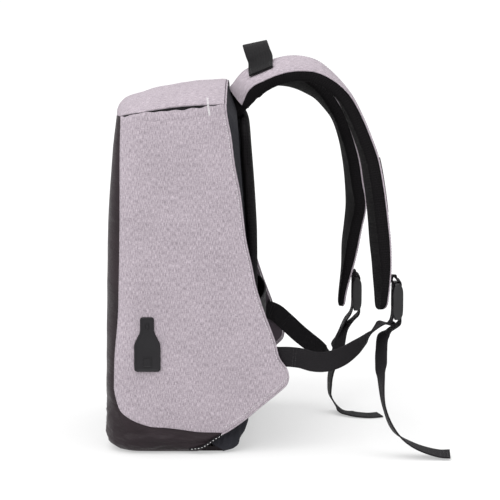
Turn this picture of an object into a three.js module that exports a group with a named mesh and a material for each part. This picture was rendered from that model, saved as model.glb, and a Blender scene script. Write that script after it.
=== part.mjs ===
// Anti theft backpack, standing closed on its base, straps behind it.
// Millimetres, +Z up. The front of the bag faces -Y, the shoulder straps are on the +Y side,
// and +X is the wearer's right. The bag stands on z = 0.
import * as THREE from "three";

// Overall sizes of the bag body.
const HEIGHT = 455;
const DEPTH = 185;
const HALF_WIDTH = 150;

// Panels.
const WALL = 4; // padded walls
const WING_WALL = 2.2; // the flap that the lower straps are sewn to
const LINING = 1.4;
const BASE_BOARD = 6;
const FRONT_CORNER = 38; // radius of the upright front corners
const BASE_CORNER = 18; // radius of the edge round the base
const FRONT_BOW = 6;
const SEAM_GAP = 0.35;
const CROWN = 27; // rise of the top panel from its side seams to the middle

// Back.
const RING_INSET = WALL + 0.8; // the back gusset starts under the side panels' rear edges
const RING_WALL = 3;
const CROWN_SLACK = 1.6; // further in under the top panel, whose crown falls towards the front
const ZIP_TAPE = 1.2;
const ZIP_WIDTH = 9; // of the tape that shows past the gusset
const PAD = 12;
const PAD_SIDE_INSET = 24;
const PAD_TOP_INSET = 30;
const PAD_FOOT = 34; // height of the pad's lower edge
const PAD_CORNER = 22;
const BAND_HEIGHT = 74;
const BAND_BULGE = 10;
const CLEAR = 0.3; // between pieces that lie on each other

// Straps and webbing.
const STRAP_PAD = 14;
const STRAP_COVER = 1.6;
const STRAP_CROWN = 3;
const STRAP_END = 0.5; // thickness of a strap's tip as a share of the rest
const WEBBING = 25;
const WEBBING_THICK = 2;
const HANDLE_WIDTH = 32;
const HANDLE_THICK = 2.6;
const PIPING_RADIUS = 1.7;

// Profiles in the side view. Heights are shares of HEIGHT and depths are shares of DEPTH.
// These four are [height, depth]; the edge lines after them are [depth, height].
const FRONT_PROFILE = [
  [0.000, -0.492], [0.044, -0.503], [0.191, -0.503], [0.376, -0.495],
  [0.618, -0.481], [0.796, -0.451], [0.919, -0.422], [1.011, -0.405],
];
const BACK_PROFILE = [
  [0.000, 0.270], [0.022, 0.365], [0.042, 0.405], [0.075, 0.454], [0.112, 0.482],
  [0.198, 0.495], [0.330, 0.497], [0.536, 0.497], [0.589, 0.492], [0.703, 0.476],
  [0.798, 0.459], [0.859, 0.449], [0.923, 0.432], [0.967, 0.422],
];
const ZIP_PROFILE = [
  [0.000, 0.100], [0.020, 0.119], [0.033, 0.178], [0.064, 0.249], [0.099, 0.281],
  [0.198, 0.303], [0.549, 0.324], [0.725, 0.303], [0.879, 0.270], [0.938, 0.243], [1.011, 0.238],
];
// [height, share of HALF_WIDTH]
const WIDTH_PROFILE = [
  [0.000, 0.975], [0.130, 0.995], [0.330, 1.005], [0.550, 1.000],
  [0.725, 0.980], [0.880, 0.940], [0.950, 0.918], [1.020, 0.900],
];
const FRONT_SEAM = [
  [-0.451, 0.176], [-0.443, 0.264], [-0.418, 0.367], [-0.407, 0.475], [-0.399, 0.624],
  [-0.398, 0.714], [-0.398, 0.820], [-0.395, 0.905],
];
const BASE_SEAM = [
  [-0.451, 0.176], [-0.434, 0.145], [-0.404, 0.116], [-0.334, 0.096], [-0.267, 0.084],
  [-0.200, 0.076], [-0.097, 0.073], [0.002, 0.068], [0.103, 0.062], [0.270, 0.060],
];
const WING_LOWER_EDGE = [
  [0.270, 0.060], [0.306, 0.068], [0.407, 0.097], [0.520, 0.136],
  [0.649, 0.180], [0.689, 0.197], [0.699, 0.213],
];
const WING_REAR_EDGE = [
  [0.699, 0.213], [0.688, 0.233], [0.637, 0.264], [0.607, 0.310], [0.536, 0.388],
  [0.480, 0.461], [0.457, 0.509], [0.418, 0.580], [0.398, 0.645], [0.378, 0.709],
  [0.344, 0.780], [0.321, 0.853], [0.298, 0.901], [0.288, 0.938],
];
const POCKET_SLIT = [
  [-0.395, 0.905], [-0.312, 0.913], [-0.261, 0.916], [-0.168, 0.923], [-0.054, 0.930],
  [0.034, 0.934], [0.108, 0.936], [0.183, 0.937], [0.288, 0.938],
];
const PIPING_FOOT = [
  [0.050, 0.016], [0.097, 0.018], [0.137, 0.022], [0.191, 0.035], [0.243, 0.051],
];
const POCKET_MOUTH = { from: -0.08, to: 0.13, open: 3.0 }; // the stretch of the slit that gapes

// Shoulder straps, from the seam at the top to the tip: x, y and z of the strap's middle as
// shares of HALF_WIDTH, DEPTH and HEIGHT, then the y and z parts of the unit vector across
// the strap (towards +X) and half the strap's width.
const RIGHT_STRAP = [
  [0.335, 0.389, 0.945, 0.23, -0.35, 31],
  [0.355, 0.461, 0.987, 0.12, -0.34, 31],
  [0.364, 0.554, 1.004, 0.05, -0.32, 31],
  [0.377, 0.642, 1.018, 0.03, -0.31, 31],
  [0.389, 0.721, 1.025, 0.03, -0.3, 31],
  [0.401, 0.801, 1.025, 0.04, -0.28, 31],
  [0.414, 0.884, 1.017, 0.05, -0.25, 31],
  [0.425, 0.974, 0.994, 0.07, -0.2, 31],
  [0.437, 1.053, 0.962, 0.08, -0.15, 31],
  [0.450, 1.114, 0.922, 0.08, -0.11, 31],
  [0.477, 1.202, 0.838, 0.08, -0.05, 31],
  [0.491, 1.246, 0.783, 0.09, -0.03, 31],
  [0.519, 1.280, 0.706, 0.1, 0, 31],
  [0.546, 1.301, 0.635, 0.11, 0, 31],
  [0.573, 1.321, 0.546, 0.13, 0, 31],
  [0.587, 1.330, 0.493, 0.13, 0, 31],
  [0.622, 1.331, 0.434, 0.12, 0, 28],
  [0.655, 1.326, 0.378, 0.1, 0, 20],
];
const LEFT_STRAP = [
  [-0.335, 0.389, 0.945, -0.23, 0.35, 31],
  [-0.353, 0.454, 0.983, -0.12, 0.34, 31],
  [-0.360, 0.546, 0.998, -0.04, 0.32, 31],
  [-0.367, 0.632, 1.007, 0, 0.31, 31],
  [-0.373, 0.714, 1.005, 0, 0.3, 31],
  [-0.378, 0.795, 0.995, 0, 0.28, 31],
  [-0.385, 0.870, 0.979, 0, 0.25, 31],
  [-0.397, 0.946, 0.956, 0, 0.2, 31],
  [-0.417, 1.016, 0.923, 0, 0.14, 31],
  [-0.440, 1.078, 0.884, 0, 0.08, 31],
  [-0.472, 1.130, 0.830, 0.03, 0.03, 31],
  [-0.491, 1.170, 0.765, 0.08, 0, 31],
  [-0.511, 1.194, 0.699, 0.1, 0, 31],
  [-0.532, 1.212, 0.633, 0.16, 0, 31],
  [-0.553, 1.194, 0.567, 0.1, 0, 31],
  [-0.567, 1.171, 0.501, 0.06, 0, 31],
  [-0.592, 1.147, 0.422, -0.02, 0, 30],
  [-0.603, 1.126, 0.366, -0.04, 0, 26],
  [-0.620, 1.116, 0.323, -0.04, 0, 18],
];

// Webbing paths: x, y and z as shares of HALF_WIDTH, DEPTH and HEIGHT, then the vector across.
// The lower webbing runs from the flap to the adjuster, the tail from the adjuster to its end.
const RIGHT_LOWER = [
  [0.963, 0.565, 0.268, 0, 0, 1],
  [0.963, 0.640, 0.267, 0, 0, 1],
  [0.966, 0.715, 0.267, 0, 0, 1],
  [0.980, 0.790, 0.264, 0, 0, 1],
  [0.987, 0.865, 0.256, 0, 0, 1],
  [0.973, 0.946, 0.254, 0, -0.1, 1],
  [0.940, 1.049, 0.264, 0.2, -0.2, 0.95],
  [0.887, 1.148, 0.286, 0.55, -0.3, 0.8],
  [0.840, 1.216, 0.306, 0.85, -0.3, 0.45],
  [0.790, 1.270, 0.325, 1, -0.1, 0.1],
  [0.722, 1.335, 0.342, 1, 0, 0],
];
const RIGHT_TAIL = [
  [0.685, 1.385, 0.322, 1, 0, 0],
  [0.705, 1.345, 0.307, 0.9, 0.44, 0],
  [0.747, 1.330, 0.269, 0.9, 0.44, 0],
  [0.800, 1.326, 0.237, 0.9, 0.42, 0],
  [0.853, 1.324, 0.207, 0.97, 0.24, 0],
  [0.953, 1.340, 0.129, 1, 0.08, 0],
  [1.013, 1.405, 0.069, 0.97, 0.15, 0.1],
  [1.060, 1.530, 0.033, 0.98, -0.05, 0],
  [1.080, 1.690, 0.013, 0.98, -0.1, -0.1],
  [1.087, 1.765, 0.012, 0.98, -0.1, -0.16],
];
const LEFT_LOWER = [
  [-0.958, 0.565, 0.290, 0, 0, 1],
  [-0.958, 0.640, 0.278, 0, 0.2, 1],
  [-0.964, 0.715, 0.252, 0, 0.5, 0.85],
  [-0.970, 0.825, 0.210, 0, 0.6, 0.8],
  [-0.947, 0.940, 0.174, 0.1, 0.5, 0.85],
  [-0.893, 1.020, 0.152, 0.3, 0.3, 0.9],
  [-0.833, 1.075, 0.160, 0.7, 0.2, 0.6],
  [-0.765, 1.085, 0.192, 0.95, 0.1, 0.2],
  [-0.700, 1.115, 0.232, 1, 0, 0],
  [-0.640, 1.152, 0.272, 1, 0, 0],
];
const LEFT_TAIL = [
  [-0.612, 1.215, 0.280, 1, 0, 0],
  [-0.600, 1.150, 0.252, 0.95, 0.3, 0],
  [-0.600, 1.105, 0.194, 0.85, 0.52, 0],
  [-0.580, 1.050, 0.117, 0.98, 0.2, 0],
  [-0.560, 1.040, 0.085, 0.99, 0.15, 0],
  [-0.533, 1.045, 0.050, 0.99, 0.1, 0],
  [-0.470, 1.110, 0.014, 0.98, 0.05, 0.05],
  [-0.380, 1.190, 0.0062, 0.98, 0, 0],
  [-0.330, 1.310, 0.004, 0.98, 0, 0],
  [-0.360, 1.400, 0.004, 0.98, 0.05, 0],
];

// Adjusters: a plate with two slots on each strap's lower end. Middle as shares as above.
const ADJUSTER = { wide: 34, tall: 46, thick: 6, slot: 27, slotTall: 8, upper: 12.5, lower: -9 };
const RIGHT_ADJUSTER = [0.665, 1.432, 0.404];
const LEFT_ADJUSTER = [-0.605, 1.228, 0.358];

// Rubber cover of the charging port, on the right side: half outline, upwards, in depth from the
// cover's middle and height, as shares of HALF_WIDTH.
const PORT_MIDDLE = [-0.218, 0.303]; // shares of DEPTH and HEIGHT
const PORT_THICK = 2.2;
const PORT_OUTLINE = [
  [0.090, -0.223], [0.103, -0.215], [0.106, -0.195], [0.106, -0.005], [0.100, 0.015],
  [0.062, 0.090], [0.056, 0.112], [0.056, 0.212], [0.046, 0.223],
];

// Colours and roughness by piece.
const GREY_CLOTH = { color: 0xb4acb4, roughness: 0.95, metalness: 0 };
const DARK_COATED = { color: 0x37333a, roughness: 0.5, metalness: 0 };
const SLATE_CLOTH = { color: 0x2b2b32, roughness: 0.9, metalness: 0 };
const BLACK_MESH = { color: 0x141417, roughness: 1, metalness: 0 };
const BLACK_WEBBING = { color: 0x1b1b1e, roughness: 0.85, metalness: 0 };
const LOOKS = {
  front_panel: DARK_COATED,
  bottom_panel: DARK_COATED,
  side_panel: GREY_CLOTH,
  top_panel: GREY_CLOTH,
  edge_piping: GREY_CLOTH,
  strap_cover: GREY_CLOTH,
  wing_lining: SLATE_CLOTH,
  back_gusset: SLATE_CLOTH,
  luggage_band: SLATE_CLOTH,
  back_pad: BLACK_MESH,
  strap_pad: BLACK_MESH,
  main_zipper: BLACK_WEBBING,
  strap_overlay: BLACK_WEBBING,
  adjuster_loop: BLACK_WEBBING,
  webbing: BLACK_WEBBING,
  carry_handle: BLACK_WEBBING,
  adjuster: { color: 0x17171a, roughness: 0.4, metalness: 0 },
  port_cover: { color: 0x1f1e22, roughness: 0.6, metalness: 0 },
};

const bag = new THREE.Group();
bag.name = "anti_theft_backpack";

// Helpers.

const vec = (x, y, z) => new THREE.Vector3(x, y, z);
const lerp = THREE.MathUtils.lerp;
const clamp = THREE.MathUtils.clamp;
const smoothstep = THREE.MathUtils.smoothstep;

/** A smooth function through [x, y] points that never overshoots between them. */
function profile(points, xScale = 1, yScale = 1) {
  const x = points.map((p) => p[0] * xScale);
  const y = points.map((p) => p[1] * yScale);
  const slope = x.slice(1).map((_, i) => (y[i + 1] - y[i]) / (x[i + 1] - x[i]));
  const tangent = x.map((_, i) => {
    if (i === 0) return slope[0];
    if (i === x.length - 1) return slope[i - 1];
    const [a, b] = [slope[i - 1], slope[i]];
    return a * b <= 0 ? 0 : (2 * a * b) / (a + b);
  });
  return (t) => {
    const v = clamp(t, x[0], x[x.length - 1]);
    let i = 0;
    while (i < x.length - 2 && v > x[i + 1]) i++;
    const span = x[i + 1] - x[i];
    const s = (v - x[i]) / span;
    return (2 * s ** 3 - 3 * s ** 2 + 1) * y[i] + (s ** 3 - 2 * s ** 2 + s) * span * tangent[i]
      + (3 * s ** 2 - 2 * s ** 3) * y[i + 1] + (s ** 3 - s ** 2) * span * tangent[i + 1];
  };
}

/** A smooth line through points, read by the share of its length. */
function line(points) {
  const curve = new THREE.CatmullRomCurve3(points, false, "centripetal");
  curve.arcLengthDivisions = 400;
  return (t) => curve.getPointAt(clamp(t, 0, 1));
}

/** An edge table [depth, height] as points in the side view (x = 0). */
const sideLine = (table) => table.map(([y, z]) => vec(0, y * DEPTH, z * HEIGHT));

/** Collects welded points and triangles and makes a closed, outward facing mesh of them. */
class Solid {
  constructor() {
    this.points = [];
    this.index = new Map();
    this.triangles = [];
  }

  add(p) {
    const key = [p.x, p.y, p.z].map((v) => Math.round(v * 2000)).join();
    if (!this.index.has(key)) {
      this.index.set(key, this.points.length);
      this.points.push(p.clone());
    }
    return this.index.get(key);
  }

  triangle(a, b, c) {
    if (a !== b && b !== c && c !== a) this.triangles.push([a, b, c]);
  }

  quad(a, b, c, d) {
    const [p, q, r, s] = [a, b, c, d].map((i) => this.points[i]);
    if (p.distanceTo(r) <= q.distanceTo(s)) {
      this.triangle(a, b, c);
      this.triangle(a, c, d);
    } else {
      this.triangle(a, b, d);
      this.triangle(b, c, d);
    }
  }

  mesh(name) {
    let volume = 0;
    for (const [a, b, c] of this.triangles) {
      volume += this.points[a].dot(vec(0, 0, 0).crossVectors(this.points[b], this.points[c]));
    }
    const faces = volume < 0 ? this.triangles.map(([a, b, c]) => [a, c, b]) : this.triangles;
    const geometry = new THREE.BufferGeometry();
    geometry.setAttribute("position",
      new THREE.Float32BufferAttribute(this.points.flatMap((p) => [p.x, p.y, p.z]), 3));
    geometry.setIndex(faces.flat());
    geometry.computeVertexNormals();
    const look = LOOKS[name.replace(/_(right|left)$/, "")];
    const mesh = new THREE.Mesh(geometry, new THREE.MeshStandardMaterial(look));
    mesh.name = name;
    return mesh;
  }
}

/** A sheet with thickness: outer and inner are grids of points, null where the sheet is absent. */
function sheet(name, outer, inner) {
  const solid = new Solid();
  const ids = (grid) => grid.map((row) => row.map((p) => (p ? solid.add(p) : -1)));
  const [out, inn] = [ids(outer), ids(inner)];
  const edges = new Map();
  const edge = (a, b, c, d) => {
    const back = b + "," + a;
    if (edges.has(back)) edges.delete(back);
    else edges.set(a + "," + b, [a, b, c, d]);
  };
  for (let i = 0; i + 1 < out.length; i++) {
    for (let j = 0; j + 1 < out[i].length; j++) {
      const q = [out[i][j], out[i + 1][j], out[i + 1][j + 1], out[i][j + 1]];
      const r = [inn[i][j], inn[i + 1][j], inn[i + 1][j + 1], inn[i][j + 1]];
      if (q.includes(-1)) continue;
      solid.quad(...q);
      solid.quad(...r.slice().reverse());
      for (let k = 0; k < 4; k++) edge(q[k], q[(k + 1) % 4], r[k], r[(k + 1) % 4]);
    }
  }
  for (const [a, b, c, d] of edges.values()) solid.quad(b, a, c, d);
  return solid.mesh(name);
}

/** A closed tube of equal rings, with flat ends unless the path is a loop. */
function tube(name, rings, loop = false) {
  const solid = new Solid();
  const ids = rings.map((ring) => ring.map((p) => solid.add(p)));
  const n = ids[0].length;
  const last = loop ? ids.length : ids.length - 1;
  for (let i = 0; i < last; i++) {
    const next = ids[(i + 1) % ids.length];
    for (let k = 0; k < n; k++) solid.quad(ids[i][k], ids[i][(k + 1) % n], next[(k + 1) % n], next[k]);
  }
  if (!loop) {
    for (const [ring, flip] of [[ids[0], true], [ids[ids.length - 1], false]]) {
      for (let k = 1; k + 1 < n; k++) {
        if (flip) solid.triangle(ring[0], ring[k + 1], ring[k]);
        else solid.triangle(ring[0], ring[k], ring[k + 1]);
      }
    }
  }
  return solid.mesh(name);
}

/**
 * Frames along a path of stations, each with its middle, its vector across and an extra value.
 * With no count of steps, each station says how many steps follow it (2 if it doesn't).
 */
function frames(stations, steps) {
  const points = stations.map((s) => s.at);
  const curve = new THREE.CatmullRomCurve3(points, false, "centripetal");
  const middle = line(points);
  const spans = points.length - 1;
  const lengths = [0];
  for (let k = 0; k < spans; k++) {
    let sum = 0;
    for (let m = 0; m < 20; m++) {
      sum += curve.getPoint((k + m / 20) / spans).distanceTo(curve.getPoint((k + (m + 1) / 20) / spans));
    }
    lengths.push(lengths[k] + sum);
  }
  const shares = lengths.map((l) => l / lengths[spans]);
  const track = (get) => profile(stations.map((s, k) => [shares[k], get(s)]));
  const [ax, ay, az] = ["x", "y", "z"].map((c) => track((s) => s.across[c]));
  const extra = track((s) => s.extra ?? 0);
  const stops = steps
    ? Array.from({ length: steps + 1 }, (_, k) => k / steps)
    : stations.slice(0, -1).flatMap((s, k) => Array.from({ length: s.cuts ?? 2 },
      (_, m) => lerp(shares[k], shares[k + 1], m / (s.cuts ?? 2)))).concat([1]);
  const reach = 0.6 / lengths[spans];
  return stops.map((t) => {
    const tangent = middle(t + reach).sub(middle(t - reach)).normalize();
    const across = vec(ax(t), ay(t), az(t));
    across.addScaledVector(tangent, -across.dot(tangent)).normalize();
    const normal = vec(0, 0, 0).crossVectors(across, tangent).normalize();
    return { at: middle(t), across, normal, tangent, extra: extra(t), t };
  });
}

/** One ring of a sweep: section points [across, along the normal] placed in a frame. */
const ringAt = (frame, section) => section.map(([a, b]) =>
  frame.at.clone().addScaledVector(frame.across, a).addScaledVector(frame.normal, b));

const flatSection = (width, thick) =>
  [[-width / 2, -thick / 2], [width / 2, -thick / 2], [width / 2, thick / 2], [-width / 2, thick / 2]];

const station = (x, y, z, across, extra) => ({ at: vec(x, y, z), across: vec(...across), extra });

// Body surface.

const frontY = profile(FRONT_PROFILE, HEIGHT, DEPTH);
const backY = profile(BACK_PROFILE, HEIGHT, DEPTH);
const zipY = profile(ZIP_PROFILE, HEIGHT, DEPTH);
const halfWidth = profile(WIDTH_PROFILE, HEIGHT, HALF_WIDTH);
const slitZ = profile(POCKET_SLIT, DEPTH, HEIGHT);
const SHOULDER_Y = POCKET_SLIT[POCKET_SLIT.length - 1][0] * DEPTH; // the rear end of the side's top seam
const SHOULDER = slitZ(SHOULDER_Y);
const BASE_REAR = WING_LOWER_EDGE[0][0] * DEPTH; // rear edge of the base
const crownRise = profile(
  [[-0.424, 0.22], [-0.405, 0.5], [-0.375, 0.68], [-0.285, 0.78], [-0.195, 0.87], [-0.075, 0.91],
    [0.045, 0.94], [0.162, 0.98], [0.262, 1.0]], DEPTH, CROWN);

/** How far the walls draw in towards the base. */
const baseInset = (z) =>
  z >= BASE_CORNER ? 0 : BASE_CORNER - Math.sqrt(BASE_CORNER ** 2 - (BASE_CORNER - z) ** 2);

/** Half the width of the body at a depth and a height. */
function sideX(y, z) {
  const into = Math.max(0, frontY(z) + FRONT_CORNER - y);
  return halfWidth(z) - FRONT_CORNER + Math.sqrt(Math.max(0, FRONT_CORNER ** 2 - into ** 2));
}

/** How far the front bows out at a share of its flat half width. */
const frontBow = (share) => FRONT_BOW * Math.max(0, 1 - share * share) ** 1.2;

/** Body surface by section: s 0..1 is the front, 1..2 the corner, past 2 the side. */
function bodyPoint(s, z) {
  const side = Math.sign(s) || 1;
  const a = Math.abs(s);
  const inset = baseInset(z);
  const flat = halfWidth(z) - FRONT_CORNER;
  const front = frontY(z);
  if (a <= 1) {
    return vec(side * a * flat, front + inset - frontBow(a), z);
  }
  const turn = Math.min(a - 1, 1) * Math.PI / 2;
  const radius = FRONT_CORNER - inset;
  const along = Math.max(0, a - 2) * DEPTH;
  return vec(side * (flat + radius * Math.sin(turn)),
    front + FRONT_CORNER - radius * Math.cos(turn) + along, z);
}

/** The section value at which the body surface has a given depth, past the front corner's start. */
function sectionAt(y, z) {
  const front = frontY(z);
  const rest = front + FRONT_CORNER - y;
  if (rest <= 0) return 2 - rest / DEPTH;
  return 1 + Math.acos(clamp(rest / FRONT_CORNER, 0, 1)) / (Math.PI / 2);
}

/** Direction from a surface point to the inside, the same for neighbouring panels. */
function inward(p, back = Infinity) {
  const flat = HALF_WIDTH * 0.93 - FRONT_CORNER;
  const core = vec(clamp(p.x, -flat, flat), clamp(p.y, frontY(p.z) + FRONT_CORNER, back),
    clamp(p.z, 0.088 * HEIGHT, 0.846 * HEIGHT));
  return core.sub(p).normalize();
}

const thick = (grid, thickness, direction = inward) => grid.map((row) => row.map((p) =>
  (p ? p.clone().addScaledVector(direction(p), typeof thickness === "number" ? thickness : thickness(p))
    : null)));

// Front panel and base wrap.

// Where neighbouring panels meet they share the same stations: shares of the base seam, of the
// wing's lower edge after it, and of the front seam.
const BASE_SEAM_STATIONS = [0, 0.045, 0.09, 0.18, 0.27, 0.4, 0.58, 0.78, 1];
const WING_STATIONS = [0.2, 0.4, 0.6, 0.8, 0.92, 1];
const FRONT_SEAM_STATIONS = [0, 0.05, 0.1, 0.17, 0.25, 0.34, 0.43, 0.52, 0.61, 0.7, 0.79, 0.88, 0.95, 1];
const BASE_SHARE = 0.6; // the part of a side panel's width, in columns, above the base seam

const baseSeam = line(sideLine(BASE_SEAM));
const frontSeam = line(sideLine(FRONT_SEAM));
const wingLower = line(sideLine(WING_LOWER_EDGE));
const wingRear = line(sideLine(WING_REAR_EDGE));

/** Share of the top panel's rise at a share of its half width. */
const crownShare = (share) => Math.max(0, 1 - Math.min(1, share * share)) ** 0.75;

function frontPanel() {
  const centre = [0, 0.17, 0.34, 0.5, 0.65, 0.77, 0.89, 1]; // shares of the way to the front seam
  const baseRows = [0, 0.05, 0.12, 0.21, 0.4, 0.7, 1];
  const seamFoot = frontSeam(0);
  const seamTop = frontSeam(1).z;
  const lowS = sectionAt(seamFoot.y, seamFoot.z);
  const topAt = (s) => {
    const y = s <= 1 ? frontY(seamTop) : bodyPoint(s, seamTop).y;
    return slitZ(y) + crownRise(y) * crownShare(s) - SEAM_GAP;
  };
  const centreColumn = (side, share) => {
    const low = baseRows.map((r) => bodyPoint(side * lowS * share, r * seamFoot.z));
    const high = FRONT_SEAM_STATIONS.slice(1).map((v) => {
      const seam = frontSeam(v);
      const s = sectionAt(seam.y, seam.z) * share;
      const rise = (seam.z - seamFoot.z) / (seamTop - seamFoot.z);
      return bodyPoint(side * s, lerp(seamFoot.z, topAt(s), rise));
    });
    return low.concat(high);
  };
  const wrapColumn = (side, t) => {
    const top = baseSeam(t);
    const footY = lerp(bodyPoint(lowS, 0).y, 0.09 * DEPTH, t);
    const low = baseRows.map((r) => {
      const y = lerp(footY, top.y, r ** 0.8);
      const z = r * top.z;
      const p = bodyPoint(side * Math.max(sectionAt(y, z), lowS), z);
      return vec(p.x, r === 1 ? top.y : p.y, z);
    });
    return low.concat(FRONT_SEAM_STATIONS.slice(1).map(() => null));
  };
  const wrap = BASE_SEAM_STATIONS.slice(1);
  const grid = [
    ...wrap.slice().reverse().map((t) => wrapColumn(-1, t)),
    ...centre.slice(1).reverse().map((c) => centreColumn(-1, c)),
    ...centre.map((c) => centreColumn(1, c)),
    ...wrap.map((t) => wrapColumn(1, t)),
  ];
  return sheet("front_panel", grid, thick(grid, WALL));
}

// Side panels with their flaps.

const SIDE_COLUMNS = BASE_SEAM_STATIONS.map((t) => t * BASE_SHARE)
  .concat(WING_STATIONS.map((t) => BASE_SHARE + t * (1 - BASE_SHARE)));

/** A grid of side-view points between four lines. */
function patch(bottom, top, left, right, columns, rows) {
  const corners = [bottom(0), bottom(1), top(0), top(1)];
  return columns.map((u) => rows.map((v) =>
    bottom(u).multiplyScalar(1 - v).addScaledVector(top(u), v)
      .addScaledVector(left(v), 1 - u).addScaledVector(right(v), u)
      .addScaledVector(corners[0], -(1 - u) * (1 - v)).addScaledVector(corners[1], -u * (1 - v))
      .addScaledVector(corners[2], -(1 - u) * v).addScaledVector(corners[3], -u * v)));
}

/** Side-view points moved out to the body surface, less a distance in from it. */
const onSide = (side, grid, inset = () => 0) => grid.map((row) => row.map((p) =>
  vec(side * (sideX(p.y, p.z) - inset(p)), p.y, p.z)));

const panelThickness = (p) => lerp(WALL, WING_WALL, smoothstep(p.y, 0.19 * DEPTH, 0.32 * DEPTH));

function sidePanel(side, name) {
  const shift = vec(0, SEAM_GAP, SEAM_GAP);
  const bottom = (u) => (u <= BASE_SHARE
    ? baseSeam(u / BASE_SHARE).add(shift)
    : wingLower((u - BASE_SHARE) / (1 - BASE_SHARE)).addScaledVector(shift, 1 - u));
  const top = (u) => {
    const y = lerp(frontSeam(1).y + SEAM_GAP, wingRear(1).y, u);
    const share = y / DEPTH;
    const mouth = smoothstep(share, POCKET_MOUTH.from - 0.12, POCKET_MOUTH.from)
      * (1 - smoothstep(share, POCKET_MOUTH.to, POCKET_MOUTH.to + 0.06));
    return vec(0, y, slitZ(y) - SEAM_GAP - POCKET_MOUTH.open * mouth);
  };
  const front = (v) => frontSeam(v).add(shift);
  const grid = onSide(side, patch(bottom, top, front, wingRear, SIDE_COLUMNS, FRONT_SEAM_STATIONS));
  return sheet(name, grid, thick(grid, panelThickness));
}

/** The lining on the inner face of the flap, from beside the gusset to the flap's edge. */
function wingLining(side, name) {
  const root = 0.35 * DEPTH;
  const top = 0.56 * HEIGHT;
  const from = 0.2; // share of the flap's lower edge where the lining starts
  const height = 0.47; // share of the flap's rear edge where it ends
  const bottom = (u) => wingLower(lerp(from, 0.985, u));
  const rear = (v) => wingRear(lerp(0.005, height, v)).add(vec(0, -0.8, 0));
  const left = (v) => vec(0, lerp(bottom(0).y, root, v), lerp(bottom(0).z, top, v));
  const upper = (u) => left(1).lerp(rear(1), u);
  const flat = patch(bottom, upper, left, rear, [0, 0.35, 0.7, 1], [0, 0.12, 0.25, 0.4, 0.6, 0.8, 1]);
  const behind = (d) => onSide(side, flat, (p) => panelThickness(p) + 0.6 + d);
  return sheet(name, behind(0), behind(LINING));
}

// Top and bottom.

function topPanel() {
  const rows = [0, 0.025, 0.06, 0.11, 0.18, 0.27, 0.42, 0.6, 0.8, 1];
  const columns = [-1, -0.97, -0.9, -0.78, -0.6, -0.4, -0.2, 0, 0.2, 0.4, 0.6, 0.78, 0.9, 0.97, 1];
  const front = frontY(frontSeam(1).z);
  const grid = columns.map((u) => rows.map((v) => {
    const y = lerp(front, SHOULDER_Y, v);
    const edgeZ = slitZ(y);
    const edgeX = v === 0 ? halfWidth(edgeZ) - FRONT_CORNER : sideX(y, edgeZ);
    const x = u * edgeX;
    return vec(x, y - frontBow(u) * (1 - v) ** 3, edgeZ + crownRise(y) * crownShare(Math.abs(u)) + SEAM_GAP * 2);
  }));
  return sheet("top_panel", grid, thick(grid, WALL));
}

function bottomPanel() {
  const rows = [0, 0.015, 0.05, 0.1, 0.18, 0.4, 0.7, 1];
  const columns = [-1, -0.75, -0.5, -0.25, 0, 0.25, 0.5, 0.75, 1];
  const inset = BASE_CORNER + SEAM_GAP;
  const front = frontY(0) + inset;
  const radius = FRONT_CORNER - BASE_CORNER + 5; // rounder than the wrap, so the corners stay clear
  const flat = halfWidth(0) - FRONT_CORNER;
  const grid = columns.map((u) => rows.map((v) => {
    const y = lerp(front, BASE_REAR, v);
    const into = Math.max(0, front + radius - y);
    const edge = halfWidth(0) - inset - radius + Math.sqrt(Math.max(0, radius ** 2 - into ** 2));
    const x = u * edge;
    return vec(x, y - frontBow(x / flat) * Math.max(0, 1 - v / 0.18), 0);
  }));
  return sheet("bottom_panel", grid, thick(grid, BASE_BOARD));
}

// Back: gusset ring, hidden zip, padded panel, luggage band.

/**
 * The body's outline seen from behind and, for each station, the padded panel's rim inside it:
 * right half, from the base's middle to the top's.
 */
function backOutline() {
  const half = [];
  const put = (x, z, rimX, rimZ) => half.push({ p: vec(x, 0, z), rim: vec(rimX, 0, rimZ) });
  const foot = halfWidth(0) - BASE_CORNER;
  const rimFoot = HALF_WIDTH - PAD_SIDE_INSET - PAD_CORNER;
  for (const share of [0, 0.35, 0.7, 1]) put(foot * share, 0, rimFoot * share, PAD_FOOT);
  for (const turn of [22.5, 45, 67.5, 90]) {
    const a = THREE.MathUtils.degToRad(turn);
    const z = BASE_CORNER * (1 - Math.cos(a));
    put(halfWidth(z) - BASE_CORNER * (1 - Math.sin(a)), z,
      rimFoot + PAD_CORNER * Math.sin(a), PAD_FOOT + PAD_CORNER * (1 - Math.cos(a)));
  }
  const rimShoulder = SHOULDER - PAD_TOP_INSET;
  for (const share of [0.04, 0.1, 0.2, 0.32, 0.47, 0.62, 0.77, 0.88, 0.95, 0.985]) {
    const z = lerp(BASE_CORNER, SHOULDER, share);
    const rimZ = lerp(PAD_FOOT + PAD_CORNER, rimShoulder, share);
    put(halfWidth(z), z, halfWidth(rimZ) - PAD_SIDE_INSET, rimZ);
  }
  const wide = halfWidth(SHOULDER);
  for (const share of [0.985, 0.94, 0.86, 0.74, 0.58, 0.38, 0.18, 0]) {
    const rise = CROWN * crownShare(share);
    put(wide * share, SHOULDER + rise, (wide - PAD_SIDE_INSET) * share, rimShoulder + rise);
  }
  return half;
}

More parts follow.
